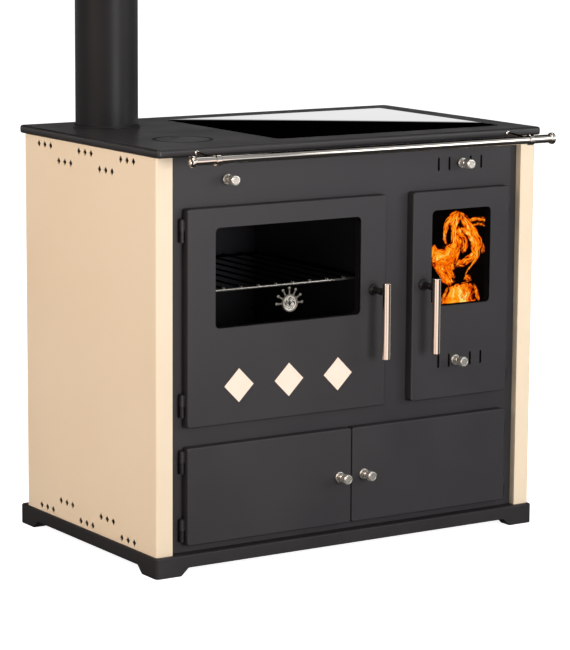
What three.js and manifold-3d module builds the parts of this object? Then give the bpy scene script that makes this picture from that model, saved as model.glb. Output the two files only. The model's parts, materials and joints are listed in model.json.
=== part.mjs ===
// Wood-burning cookstove: sheet-steel body with enamelled side panels, an oven door and a
// firebox door above a two-door storage bay, a hob with a glass cooking zone and a round
// cast lid, a towel rail and a stovepipe.
//
// Millimetres, +Z up, the stove's front towards -Y. Inside the sub-assemblies x = 0 is the
// stove's middle plane, y = 0 the front face of the side panels' flanges and z = 0 the floor.
// The finished group is moved along Y so that its origin lies under the middle of the whole.

import * as THREE from "three";
import { mergeGeometries, mergeVertices } from "three/addons/utils/BufferGeometryUtils.js";
import Module from "manifold-3d";

const wasm = await Module();
wasm.setup();

// ---------------------------------------------------------------- driving dimensions

// Clearances
const SEAT_GAP = 0.3; // between pieces that rest on or lie against each other
const RUNNING_GAP = 0.3; // round pins, rods and spindles
const WELD = 1e-4; // vertices closer than this are one

// Body
const BODY_WIDTH = 920;
const BODY_DEPTH = 535; // front flanges to the back edge of the side panels
const WORKTOP_HEIGHT = 850; // floor to the top of the hob frame
const SIDE_SHEET = 2;
const FLANGE_WIDTH = 37; // enamelled strip that wraps to the front
const SIDE_FOLD_RADIUS = 4;
const BACK_FLANGE_WIDTH = 20;
const BACK_SHEET = 2;
const BACK_SLOT = { width: 80, height: 6, columns: 5, rows: 2, pitchX: 150, pitchZ: 16 };
const BACK_SLOT_MARGIN = 60; // slot field to the top or bottom of the back panel
const FRONT_RECESS = 16; // front plate behind the strips' front face
const FRONT_PLATE = 3;

// Plinth
const PLINTH_HEIGHT = 42;
const PLINTH_OVERHANG = { side: 5, front: 8, back: 27 };
const PLINTH_WALL = 30;
const PLINTH_CORNER_RADIUS = 8;
const PLINTH_EDGE = 3; // rounding of the plinth's top edge
const FOOT_LENGTH = 58;
const FOOT_SLOPE = 17;
const FOOT_HEIGHT = 15.5;
const FLOOR_SHEET = 2;

// Diamond vents in the side panels
const VENT_DIAMOND = { width: 14, height: 16, pitch: 25, perGroup: 3 };
const VENT_GROUPS = 5;
const VENT_GROUP_PITCH = 84.5;
const VENT_TOP_ROWS = [15, 43]; // below the body's top edge
const VENT_BOTTOM_ROWS = [13, 39]; // above the plinth

// Hob frame
const TOP_THICKNESS = 17;
const TOP_OVERHANG = { side: 4, front: 15, back: 20 };
const TOP_EDGE_RADIUS = 5;
const TOP_CORNER_RADIUS = 7;
const TOP_PLATE = 12; // left above the pocket in the frame's underside
const TOP_RIM = { side: 18, front: 36, back: 30 };
const HOB_GLASS = { fromLeft: 312, fromRight: 55, fromFront: 50, fromBack: 45, thickness: 5, cornerRadius: 8, edge: 0.8 };
const HOB_GLASS_LEDGE = 8;

// Round lid and stovepipe, one behind the other on the hob's left
const ROUND_ZONE_FROM_LEFT = 143; // shared centre line of lid and pipe
const LID_FROM_FRONT = 139;
const LID_RADIUS = 54.5;
const LID_PLUG_RADIUS = 49.5;
const LID_LIP = 3.5;
const LID_RING_RADIUS = 61.7;
const LID_SEAT_DEPTH = 9;
const LID_SLOT = { length: 22, width: 7, depth: 3, offset: 30 };
const PIPE_FROM_FRONT = 445;
const PIPE_RADIUS = 65;
const PIPE_WALL = 2;
const PIPE_LENGTH = 500; // above the hob
const PIPE_SEAT_DEPTH = 8;
const COLLAR_RADIUS = 69.5;
const COLLAR_HEIGHT = 5;
const COLLAR_EDGE = 2;

// Doors
const DOOR_MARGIN = 31.5; // bare front plate between an enamelled strip and a door
const DOOR_DEPTH = 20;
const DOOR_BACK_GAP = 1; // door's back edge to the front plate
const DOOR_SHEET = 2;
const DOOR_CORNER_RADIUS = 6;
const DOOR_FOLD_RADIUS = 3;
const DOOR_OVERLAP = 16; // door over its aperture in the front plate
const APERTURE_RADIUS = 12;
const CENTRE_POST = 65.5; // between the oven door and the firebox door
const FIREBOX_DOOR_WIDTH = 245.5;
const FASCIA_HEIGHT = 103; // above the upper doors
const MIDDLE_RAIL = 39; // between the upper and the lower doors
const LOWER_DOOR_HEIGHT = 198;
const LOWER_DOOR_CLEARANCE = 16; // plinth to the lower doors
const LOWER_DOOR_GAP = 1.6; // between the two lower doors

// Windows
const WINDOW_HEIGHT = 200.5;
const WINDOW_FROM_TOP = 40.5;
const WINDOW_RADIUS = 10;
const OVEN_WINDOW_SIDE = 63.5; // door edge to window
const FIRE_WINDOW_SIDE = 47.8;
const DOOR_GLASS = 4;
const DOOR_GLASS_LAP = 9.7; // glass beyond the window's edge
const LINER_SHEET = 2;
const LINER_COLLAR = 7; // wall round the window that clamps the glass
const SEAL = { fromEdge: 4, width: 8, depth: 6.4, edge: 2 };
const SEAL_CHANNEL_WALL = 1.6;

// Diamond inlays and thermometer on the oven door
const INLAY_DIAGONAL = 68.5;
const INLAY_PITCH = 118;
const INLAY_COUNT = 3;
const INLAY_THICKNESS = 1.2;
const INLAY_EDGE = 0.4;
const INLAY_FROM_BOTTOM = 77;
const THERMOMETER = { radius: 18, depth: 7, rim: 2.5, faceDepth: 3, fromWindowBottom: 38, stemRadius: 4, stemLength: 13 };
const RAYS = { count: 7, spread: Math.PI, reach: 30, width: 2.6, thickness: 2, tipRadius: 2.6, tipRise: 0.6 };
const NEEDLE = { length: 13, tail: 5, width: 2.4, point: 0.6, thickness: 1, hubRadius: 2.6, hubRise: 0.8 };

// Hinges
const HINGE_OFFSET = 5.6; // hinge axis outside the door's edge
const HINGE_DEPTH = 8; // hinge axis in front of the front plate
const KNUCKLE_RADIUS = 5;
const KNUCKLE_LENGTH = 22;
const KNUCKLE_GAP = 0.6;
const PIN_RADIUS = 3;
const PIN_HEAD = 1.5;
const HINGE_LEAF_WIDTH = 7;
const KNUCKLE_ARM = 6; // depth of the arm that welds a knuckle to its door
const UPPER_HINGE_INSET = 44; // door's top or bottom edge to the middle of a hinge
const LOWER_HINGE_INSET = 30;

// Handles of the oven door and the firebox door
const HANDLE_ROD_RADIUS = 9;
const HANDLE_ROD_EDGE = 1;
const HANDLE_ABOVE_POST = 19.5;
const HANDLE_BELOW_POST = 137.5;
const HANDLE_STANDOFF = 48; // rod axis in front of the door
const HANDLE_ABOVE_CENTRE = 25; // post above the middle of the door
const OVEN_HANDLE_INSET = 32;
const FIREBOX_HANDLE_INSET = 27;
const ROSETTE = { radius: 11.5, depth: 4, edge: 1 };
const POST_ROOT = { flare: 1, length: 2 };
const POST_HEAD = { flare: 1.5, full: 2, start: 4 };
const POST_RADIUS = 6.5;
const SPINDLE_RADIUS = 4.5;
const CAM = { width: 9, reach: 20, thickness: 4, behindPlate: 5, jambGap: 1 };

// Turned knobs
const KNOB = { roseRadius: 11, neckRadius: 5, bodyRadius: 8.4, waistRadius: 6.5, headRadius: 10.3, edge: 1,
  rose: 3, bodyStart: 9, bodyFull: 11, bodyEnd: 15, waist: 18, head: 22, headBevel: 3, bevelWidth: 2.5, length: 34 };
const LOWER_KNOB_INSET = 29;

// Air controls and flue damper
const AIR_SLOT = { width: 5, height: 28, pitch: 27.2, count: 5 };
const AIR_SLIDE = { height: 44, thickness: 1.5, margin: 11, cornerRadius: 3, slotWiden: 1, stemRadius: 4, travel: 10 };
const PRIMARY_AIR = { fromDoorBottom: 78.5, knobOffset: -11 };
const SECONDARY_AIR = { centreOffset: 9, knobOffset: 5.5 };
const CONTROL_HEIGHT = 51.5; // knobs below the top of the fascia
const DAMPER = { fromLeft: 171.5, rodRadius: 4, plateWidth: 150, plateDepth: 45, plateThickness: 3, tabWidth: 40 };
const DAMPER_PORT = { width: 126, depth: 34 };

// Oven
const OVEN_DEPTH = 450;
const OVEN_SHEET = 2;
const RUNNER = { width: 10, thickness: 4, levels: [129, 242] }; // heights above the oven floor
const SHELF_WIRE_RADIUS = 2.5;
const SHELF_BAR_RADIUS = 2;
const SHELF_BAR_SINK = 0.8; // bars pressed into the wires they cross
const SHELF_INSET = 3; // shelf's ends from the oven's sides
const SHELF_BAR_INSET = 12; // outermost bars from the shelf's ends
const SHELF_BARS = 11;
const SHELF_FRONT = 26; // shelf's front wire behind the front plate
const SHELF_DEPTH = 400;

// Firebox
const FIREBOX_DEPTH = 410;
const FIREBOX_SHEET = 2;
const FIREBRICK = 30;
const BRICK_COURSE_GROOVE = 3;
const BRICK_TOP_GAP = 8;
const ASH_SPACE_HEIGHT = 80; // firebox floor to the grate's ledges
const GRATE_LEDGE = { width: 18, thickness: 3 };
const GRATE = { thickness: 16, slots: 9, slotWidth: 10, rows: 2, bridge: 24, edge: 24 };
const ASH_PAN = { height: 62, wall: 2, sideGap: 5.5, frontGap: 5.5, length: 371, pullWidth: 70, pullDepth: 10 };

// Smoke chamber and storage bay
const CHAMBER_SHEET = 2;
const CHAMBER_INSET = { side: 30, front: 34, back: 15 };
const STORAGE_SHEET = 2;
const STORAGE_DEPTH = 480;
const STORAGE_HEADROOM = 14; // liner's ceiling above the aperture

// Towel rail
const RAIL_RADIUS = 8.5;
const RAIL_END_INSET = 23.4; // rail's ends from the body's sides
const RAIL_BRACKET_INSET = 83;
const RAIL_STANDOFF = 75; // rail axis in front of the hob frame
const RAIL_BELOW_TOP = 16;
const RAIL_CAP = { radius: 12, length: 9, dish: 3, edge: 2 };
const RAIL_RING = { radius: 11.2, width: 11 };
const RAIL_ARM_RADIUS = 3.6;
const RAIL_ARM_RISE = 6.5;
const RAIL_ARM_FOOT = { radius: 7, depth: 3 };

// Facets of round pieces; a corner of an outline gets twice its steps
const WIRE_ROUND = 8;
const HINGE_ROUND = 12;
const KNOB_ROUND = 12;
const SMALL_ROUND = 16;
const DIAL_ROUND = 24;
const LARGE_ROUND = 32;
const CORNER_STEPS = 2;

// ---------------------------------------------------------------- derived places

const halfWidth = BODY_WIDTH / 2;
const bodyTop = WORKTOP_HEIGHT - TOP_THICKNESS;
const plateFront = FRONT_RECESS;
const plateBack = FRONT_RECESS + FRONT_PLATE;
const doorBack = plateFront - DOOR_BACK_GAP;
const doorFace = doorBack - DOOR_DEPTH;
const behindPlate = plateBack + SEAT_GAP;
const hingeY = plateFront - HINGE_DEPTH;
const outerDoorEdge = halfWidth - FLANGE_WIDTH - DOOR_MARGIN;

/** A rectangle on the front of the stove, from its lowest to its highest corner. */
function frontArea(left, bottom, right, top) {
  return { left, bottom, right, top, width: right - left, height: top - bottom,
    midX: (left + right) / 2, midZ: (bottom + top) / 2 };
}

/** The area made smaller by an inset on every side, or larger by a negative one. */
function insetArea(area, by) {
  return frontArea(area.left + by, area.bottom + by, area.right - by, area.top - by);
}

const lowerDoorBottom = PLINTH_HEIGHT + LOWER_DOOR_CLEARANCE;
const lowerDoorTop = lowerDoorBottom + LOWER_DOOR_HEIGHT;
const upperDoorBottom = lowerDoorTop + MIDDLE_RAIL;
const upperDoorTop = bodyTop - FASCIA_HEIGHT;
const fireboxDoorLeft = outerDoorEdge - FIREBOX_DOOR_WIDTH;
const ovenDoorArea = frontArea(-outerDoorEdge, upperDoorBottom, fireboxDoorLeft - CENTRE_POST, upperDoorTop);
const fireboxDoorArea = frontArea(fireboxDoorLeft, upperDoorBottom, outerDoorEdge, upperDoorTop);
const lowerDoorArea = frontArea(LOWER_DOOR_GAP / 2, lowerDoorBottom, outerDoorEdge, lowerDoorTop);
const ovenAperture = insetArea(ovenDoorArea, DOOR_OVERLAP);
const fireboxAperture = insetArea(fireboxDoorArea, DOOR_OVERLAP);
const storageAperture = insetArea(
  frontArea(-outerDoorEdge, lowerDoorBottom, outerDoorEdge, lowerDoorTop), DOOR_OVERLAP);

const controlZ = bodyTop - CONTROL_HEIGHT;
const damperX = -halfWidth + DAMPER.fromLeft;
const secondaryAirX = fireboxDoorArea.midX + SECONDARY_AIR.centreOffset;
const primaryAirZ = fireboxDoorArea.bottom + PRIMARY_AIR.fromDoorBottom;
const roundZoneX = -halfWidth + ROUND_ZONE_FROM_LEFT;

const ovenFloor = ovenAperture.bottom;
const shelfZ = ovenFloor + RUNNER.levels[1] + SEAT_GAP + SHELF_WIRE_RADIUS;
const fireShell = frontArea(fireboxAperture.left - FIREBRICK, fireboxAperture.bottom,
  fireboxAperture.right + FIREBRICK, ovenAperture.top);
const fireShellBack = behindPlate + FIREBOX_DEPTH;
const grateBottom = fireShell.bottom + ASH_SPACE_HEIGHT + SEAT_GAP;
const grateTop = grateBottom + GRATE.thickness;
const chamberFloor = ovenAperture.top + OVEN_SHEET + SEAT_GAP;

const topUnderside = WORKTOP_HEIGHT - TOP_PLATE;
const railY = -TOP_OVERHANG.front - RAIL_STANDOFF;
const railZ = WORKTOP_HEIGHT - RAIL_BELOW_TOP;
const railHalfLength = halfWidth - RAIL_END_INSET;
const railBracketX = halfWidth - RAIL_BRACKET_INSET;

// ---------------------------------------------------------------- finishes

/** A surface with one colour, roughness and metalness. */
function finish(color, roughness, metalness) {
  return new THREE.MeshStandardMaterial({ color, roughness, metalness });
}

const FINISH = {
  blackPaint: () => finish(0x403e40, 0.55, 0.2),
  blackTop: () => finish(0x2b292b, 0.45, 0.3),
  creamEnamel: () => finish(0xead2b5, 0.25, 0),
  chrome: () => finish(0xd6d0ca, 0.12, 1),
  nickel: () => finish(0xc9c4bc, 0.25, 1),
  blackSteel: () => finish(0x1b1a1c, 0.5, 0.6),
  castIron: () => finish(0x2a2a2c, 0.7, 0.5),
  greySteel: () => finish(0x6d6d70, 0.5, 0.8),
  brightWire: () => finish(0xb9b9bb, 0.3, 1),
  ovenEnamel: () => finish(0x101012, 0.3, 0.1),
  glass: () => finish(0x0c0c0e, 0.05, 0),
  hobGlass: () => finish(0x08080a, 0.06, 0),
  firebrick: () => finish(0xb7a68a, 0.95, 0),
  sealRope: () => finish(0x5a5854, 1, 0),
  dial: () => finish(0xc8c4ba, 0.3, 0.9),
  needle: () => finish(0x171717, 0.5, 0.2),
};

// ---------------------------------------------------------------- shape helpers

/** A rectangle with round corners between two corners of the drawing plane. */
function roundedRectangle(left, bottom, right, top, radius, arcSteps = CORNER_STEPS) {
  const r = Math.max(Math.min(radius, (right - left) / 2 - 0.01, (top - bottom) / 2 - 0.01), 0);
  const outline = new THREE.Path();
  outline.moveTo(left + r, bottom);
  outline.lineTo(right - r, bottom);
  if (r) outline.absarc(right - r, bottom + r, r, -Math.PI / 2, 0);
  outline.lineTo(right, top - r);
  if (r) outline.absarc(right - r, top - r, r, 0, Math.PI / 2);
  outline.lineTo(left + r, top);
  if (r) outline.absarc(left + r, top - r, r, Math.PI / 2, Math.PI);
  outline.lineTo(left, bottom + r);
  if (r) outline.absarc(left + r, bottom + r, r, Math.PI, Math.PI * 1.5);
  return new THREE.Shape(outline.getPoints(arcSteps));
}

/** A front area as an outline with round corners. */
function areaShape(area, radius) {
  return roundedRectangle(area.left, area.bottom, area.right, area.top, radius);
}

/** The outline with another outline taken out of it. */
function withHole(shape, hole) {
  shape.holes.push(new THREE.Path(hole.getPoints()));
  return shape;
}

/** A vertical slot with round ends, or a horizontal one where it is wider than it is high. */
function slotShape(midX, midZ, width, height, arcSteps = 1) {
  return roundedRectangle(midX - width / 2, midZ - height / 2, midX + width / 2, midZ + height / 2,
    Math.min(width, height) / 2, arcSteps);
}

/** A diamond that stands on its corner. */
function diamondShape(midX, midZ, width, height) {
  return new THREE.Shape([
    new THREE.Vector2(midX, midZ - height / 2),
    new THREE.Vector2(midX + width / 2, midZ),
    new THREE.Vector2(midX, midZ + height / 2),
    new THREE.Vector2(midX - width / 2, midZ),
  ]);
}

/** An outline drawn over x and y, raised from z = bottom. */
function raised(shape, bottom, height) {
  return new THREE.ExtrudeGeometry(shape, { depth: height, bevelEnabled: false, curveSegments: CORNER_STEPS })
    .translate(0, 0, bottom);
}

/** An outline drawn over x and z, from y = front backwards. */
function upright(shape, front, depth) {
  return new THREE.ExtrudeGeometry(shape, { depth, bevelEnabled: false, curveSegments: CORNER_STEPS })
    .rotateX(Math.PI / 2).translate(0, front + depth, 0);
}

/** An outline drawn over y and z, from x = left to the right. */
function across(shape, left, length) {
  const turn = new THREE.Matrix4().makeBasis(
    new THREE.Vector3(0, 1, 0), new THREE.Vector3(0, 0, 1), new THREE.Vector3(1, 0, 0));
  return new THREE.ExtrudeGeometry(shape, { depth: length, bevelEnabled: false, curveSegments: CORNER_STEPS })
    .applyMatrix4(turn).translate(left, 0, 0);
}

/** A block between its lowest and its highest corner. */
function block(low, high) {
  const [width, depth, height] = high.map((value, axis) => value - low[axis]);
  return new THREE.BoxGeometry(width, depth, height)
    .translate(low[0] + width / 2, low[1] + depth / 2, low[2] + height / 2);
}

/** An outline with rounded edges at both ends, drawn over x and z, from y = front backwards. */
function pillowUpright(shape, front, depth, radius, bevelSteps = 2) {
  const bevel = { bevelEnabled: true, bevelThickness: radius, bevelSize: radius, bevelOffset: -radius,
    bevelSegments: bevelSteps, curveSegments: CORNER_STEPS };
  return new THREE.ExtrudeGeometry(shape, { depth: depth - 2 * radius, ...bevel })
    .rotateX(Math.PI / 2).translate(0, front + depth - radius, 0);
}

/** An outline with rounded edges at both ends, drawn over x and y, raised from z = bottom. */
function pillowRaised(shape, bottom, height, radius, bevelSteps = 3) {
  const bevel = { bevelEnabled: true, bevelThickness: radius, bevelSize: radius, bevelOffset: -radius,
    bevelSegments: bevelSteps, curveSegments: CORNER_STEPS };
  return new THREE.ExtrudeGeometry(shape, { depth: height - 2 * radius, ...bevel })
    .translate(0, 0, bottom + radius);
}

/** A turned piece about +Z; the profile lists [radius, height] upwards from the axis. */
function turnedUp(profile, x, y, segments = SMALL_ROUND) {
  const points = profile.map(([radius, height]) => new THREE.Vector2(radius, height));
  return new THREE.LatheGeometry(points, segments).rotateX(Math.PI / 2).translate(x, y, 0);
}

/** A turned piece about -Y; the profile lists [radius, distance in front of y]. */
function turnedForward(profile, x, y, z, segments = SMALL_ROUND) {
  const points = profile.map(([radius, along]) => new THREE.Vector2(radius, along));
  return new THREE.LatheGeometry(points, segments).rotateX(Math.PI).translate(x, y, z);
}

/** A turned piece about +X; the profile lists [radius, x]. */
function turnedAcross(profile, y, z, segments = SMALL_ROUND) {
  const points = profile.map(([radius, along]) => new THREE.Vector2(radius, along));
  return new THREE.LatheGeometry(points, segments).rotateZ(-Math.PI / 2).translate(0, y, z);
}

/** The profile of a plain round bar between two places on its axis. */
function barProfile(radius, start, end) {
  return [[0, start], [radius, start], [radius, end], [0, end]];
}

/** The profile of a ring or tube, closed on itself. */
function ringProfile(inner, outer, start, end) {
  return [[inner, start], [outer, start], [outer, end], [inner, end], [inner, start]];
}

/** A round bar between two points. */
function barBetween(from, to, radius, segments = SMALL_ROUND) {
  const start = new THREE.Vector3(...from);
  const span = new THREE.Vector3(...to).sub(start);
  const turn = new THREE.Quaternion().setFromUnitVectors(new THREE.Vector3(0, 1, 0), span.clone().normalize());
  const points = barProfile(radius, 0, span.length()).map(([r, h]) => new THREE.Vector2(r, h));
  return new THREE.LatheGeometry(points, segments).applyQuaternion(turn).translate(...from);
}

// ---------------------------------------------------------------- cutting and joining

/** A closed geometry as a solid. */
function solidOf(geometry) {
  const bare = geometry.index ? geometry.toNonIndexed() : geometry.clone();
  bare.deleteAttribute("normal");
  bare.deleteAttribute("uv");
  const merged = mergeVertices(bare, WELD);
  return new wasm.Manifold(new wasm.Mesh({
    numProp: 3,
    vertProperties: merged.attributes.position.array,
    triVerts: new Uint32Array(merged.index.array),
  }));
}

/** A solid as a geometry. */
function geometryOf(solid) {
  const mesh = solid.getMesh();
  const geometry = new THREE.BufferGeometry();
  geometry.setAttribute("position", new THREE.BufferAttribute(new Float32Array(mesh.vertProperties), 3));
  geometry.setIndex(new THREE.BufferAttribute(new Uint32Array(mesh.triVerts), 1));
  geometry.computeVertexNormals();
  return geometry;
}

/** All the geometries fused into one. */
function joined(...geometries) {
  return geometryOf(geometries.map(solidOf).reduce((sum, next) => sum.add(next)));
}

/** The first geometry with all the others taken out of it. */
function cut(geometry, ...tools) {
  return geometryOf(tools.map(solidOf).reduce((rest, tool) => rest.subtract(tool), solidOf(geometry)));
}

/** Separate geometries that never touch, as one cutting tool. */
function pattern(geometries) {
  return mergeGeometries(geometries.map((geometry) => {
    const bare = geometry.index ? geometry.toNonIndexed() : geometry.clone();
    bare.deleteAttribute("normal");
    bare.deleteAttribute("uv");
    return bare;
  }));
}

/** Whole numbers from 0 up to count. */
function steps(count) {
  return Array.from({ length: count }, (_, index) => index);
}

/** Places spaced by pitch and centred on zero. */
function centredSteps(count, pitch) {
  return steps(count).map((index) => (index - (count - 1) / 2) * pitch);
}

/** A named piece in a group; mirrored turns a right-hand piece into its left-hand twin. */
function addPiece(group, name, geometry, material, mirrored = false) {
  const mesh = new THREE.Mesh(geometry, material);
  mesh.name = name;
  if (mirrored) mesh.scale.x = -1;
  group.add(mesh);
}

// ---------------------------------------------------------------- plinth, floor and panels

/** The foot cut-outs through a plinth wall of the given half length. */
function footCutShape(low, high) {
  return new THREE.Shape([
    new THREE.Vector2(low + FOOT_LENGTH, -1),
    new THREE.Vector2(high - FOOT_LENGTH, -1),
    new THREE.Vector2(high - FOOT_LENGTH, 0),
    new THREE.Vector2(high - FOOT_LENGTH - FOOT_SLOPE, FOOT_HEIGHT),
    new THREE.Vector2(low + FOOT_LENGTH + FOOT_SLOPE, FOOT_HEIGHT),
    new THREE.Vector2(low + FOOT_LENGTH, 0),
  ]);
}

function plinthAndFloor() {
  const group = new THREE.Group();
  const side = halfWidth + PLINTH_OVERHANG.side;
  const front = -PLINTH_OVERHANG.front;
  const back = BODY_DEPTH + PLINTH_OVERHANG.back;
  const outer = pillowRaised(roundedRectangle(-side, front, side, back, PLINTH_CORNER_RADIUS),
    -PLINTH_EDGE, PLINTH_HEIGHT + PLINTH_EDGE, PLINTH_EDGE, 2);
  const well = block([-side + PLINTH_WALL, front + PLINTH_WALL, -2 * PLINTH_EDGE],
    [side - PLINTH_WALL, back - PLINTH_WALL, PLINTH_HEIGHT + 1]);
  const belowFloor = block([-side - 1, front - 1, -2 * PLINTH_EDGE], [side + 1, back + 1, 0]);
  const frontFeet = upright(footCutShape(-side, side), front - 1, back - front + 2);
  const sideFeet = across(footCutShape(front, back), -side - 1, 2 * side + 2);
  addPiece(group, "plinth", cut(outer, well, belowFloor, frontFeet, sideFeet), FINISH.blackPaint());

  const floorHalf = halfWidth - SIDE_SHEET - SEAT_GAP;
  addPiece(group, "floor_plate",
    block([-floorHalf, behindPlate, PLINTH_HEIGHT + SEAT_GAP],
      [floorHalf, backPanelFront() - SEAT_GAP, PLINTH_HEIGHT + SEAT_GAP + FLOOR_SHEET]),
    FINISH.greySteel());
  return group;
}

/** Front face of the back panel, which lies inside the side panels' back flanges. */
function backPanelFront() {
  return BODY_DEPTH - SIDE_SHEET - SEAT_GAP - BACK_SHEET;
}

/** Diamond holes through the right-hand side sheet, in staggered groups of three. */
function ventHoles() {
  const middle = BODY_DEPTH / 2 + (FRONT_RECESS - SIDE_SHEET);
  const holes = [];
  for (const [index, offset] of centredSteps(VENT_GROUPS, VENT_GROUP_PITCH).entries()) {
    const row = index % 2;
    const heights = [bodyTop - VENT_TOP_ROWS[row], PLINTH_HEIGHT + VENT_BOTTOM_ROWS[row]];
    for (const height of heights) {
      for (const step of centredSteps(VENT_DIAMOND.perGroup, VENT_DIAMOND.pitch)) {
        const diamond = diamondShape(middle + offset + step, height, VENT_DIAMOND.width, VENT_DIAMOND.height);
        holes.push(across(diamond, halfWidth - 2 * SIDE_SHEET, 3 * SIDE_SHEET));
      }
    }
  }
  return pattern(holes);
}

/** The right-hand side panel: one sheet folded round the front and the back. */
function sidePanelGeometry() {
  const outside = halfWidth;
  const inside = halfWidth - SIDE_SHEET;
  const stripEdge = halfWidth - FLANGE_WIDTH;
  const backEdge = halfWidth - BACK_FLANGE_WIDTH;
  const returnEnd = plateFront - SEAT_GAP;
  const outline = new THREE.Path();
  outline.moveTo(stripEdge, 0);
  outline.lineTo(outside - SIDE_FOLD_RADIUS, 0);
  outline.absarc(outside - SIDE_FOLD_RADIUS, SIDE_FOLD_RADIUS, SIDE_FOLD_RADIUS, -Math.PI / 2, 0);
  outline.lineTo(outside, BODY_DEPTH);
  outline.lineTo(backEdge, BODY_DEPTH);
  outline.lineTo(backEdge, BODY_DEPTH - SIDE_SHEET);
  outline.lineTo(inside, BODY_DEPTH - SIDE_SHEET);
  outline.lineTo(inside, SIDE_FOLD_RADIUS);
  outline.absarc(outside - SIDE_FOLD_RADIUS, SIDE_FOLD_RADIUS, SIDE_FOLD_RADIUS - SIDE_SHEET, 0, -Math.PI / 2, true);
  outline.lineTo(stripEdge + SIDE_SHEET, SIDE_SHEET);
  outline.lineTo(stripEdge + SIDE_SHEET, returnEnd);
  outline.lineTo(stripEdge, returnEnd);
  const bottom = PLINTH_HEIGHT + SEAT_GAP;
  const sheet = raised(new THREE.Shape(outline.getPoints(CORNER_STEPS)), bottom, bodyTop - SEAT_GAP - bottom);
  return cut(sheet, ventHoles());
}

function panels() {
  const group = new THREE.Group();
  const side = sidePanelGeometry();
  addPiece(group, "side_panel_right", side, FINISH.creamEnamel());
  addPiece(group, "side_panel_left", side.clone(), FINISH.creamEnamel(), true);

  const half = halfWidth - SIDE_SHEET - SEAT_GAP;
  const bottom = PLINTH_HEIGHT + SEAT_GAP;
  const top = bodyTop - SEAT_GAP;
  const sheet = upright(roundedRectangle(-half, bottom, half, top, 0), backPanelFront(), BACK_SHEET);
  const slots = [];
  for (const x of centredSteps(BACK_SLOT.columns, BACK_SLOT.pitchX)) {
    for (const row of steps(BACK_SLOT.rows)) {
      const step = BACK_SLOT_MARGIN + row * BACK_SLOT.pitchZ;
      for (const z of [top - step, bottom + step]) {
        slots.push(block([x - BACK_SLOT.width / 2, backPanelFront() - 1, z - BACK_SLOT.height / 2],
          [x + BACK_SLOT.width / 2, BODY_DEPTH, z + BACK_SLOT.height / 2]));
      }
    }
  }
  addPiece(group, "back_panel", cut(sheet, pattern(slots)), FINISH.greySteel());
  return group;
}

// ---------------------------------------------------------------- front plate and storage bay

/** The air slots in a row, all but the middle one, whose place the knob takes. */
function airSlotShapes(midX, midZ, widen = 0) {
  return centredSteps(AIR_SLOT.count, AIR_SLOT.pitch)
    .filter((step) => Math.abs(step) > AIR_SLOT.pitch / 2)
    .map((step) => slotShape(midX + step, midZ, AIR_SLOT.width + widen, AIR_SLOT.height + widen));
}

/** The short level slot that a slide's stem runs in; travel is signed. */
function stemSlotShape(stemX, midZ, travel) {
  const half = AIR_SLIDE.stemRadius + RUNNING_GAP;
  const low = Math.min(stemX, stemX + travel) - half;
  const high = Math.max(stemX, stemX + travel) + half;
  return slotShape((low + high) / 2, midZ, high - low, 2 * half, CORNER_STEPS);
}

function frontPlate() {
  const half = halfWidth - SIDE_SHEET - SEAT_GAP;
  const sheet = upright(roundedRectangle(-half, PLINTH_HEIGHT + SEAT_GAP, half, bodyTop - SEAT_GAP, 0),
    plateFront, FRONT_PLATE);
  const through = (shape) => upright(shape, plateFront - 1, FRONT_PLATE + 2);
  const openings = [ovenAperture, fireboxAperture, storageAperture]
    .map((area) => through(areaShape(area, APERTURE_RADIUS)));
  const slots = airSlotShapes(secondaryAirX, controlZ).map(through);
  const stem = through(stemSlotShape(secondaryAirX + SECONDARY_AIR.knobOffset, controlZ, -AIR_SLIDE.travel));
  const rodHole = turnedForward(barProfile(DAMPER.rodRadius + RUNNING_GAP, -1, FRONT_PLATE + 1),
    damperX, plateBack, controlZ);
  const group = new THREE.Group();
  addPiece(group, "front_plate", cut(sheet, pattern([...openings, ...slots, stem]), rodHole), FINISH.blackPaint());
  return group;
}

/** Sides, ceiling and back of the storage bay, standing on the floor plate. */
function storageLiner() {
  const floor = PLINTH_HEIGHT + SEAT_GAP + FLOOR_SHEET + SEAT_GAP;
  const area = frontArea(storageAperture.left - STORAGE_SHEET, floor,
    storageAperture.right + STORAGE_SHEET, storageAperture.top + STORAGE_HEADROOM + STORAGE_SHEET);
  const back = behindPlate + STORAGE_DEPTH;
  const hood = block([area.left, behindPlate, area.bottom], [area.right, back, area.top]);
  const hollow = block([area.left + STORAGE_SHEET, behindPlate - 1, area.bottom - 1],
    [area.right - STORAGE_SHEET, back - STORAGE_SHEET, area.top - STORAGE_SHEET]);
  const group = new THREE.Group();
  addPiece(group, "storage_liner", cut(hood, hollow), FINISH.greySteel());
  return group;
}

// ---------------------------------------------------------------- hob

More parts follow.
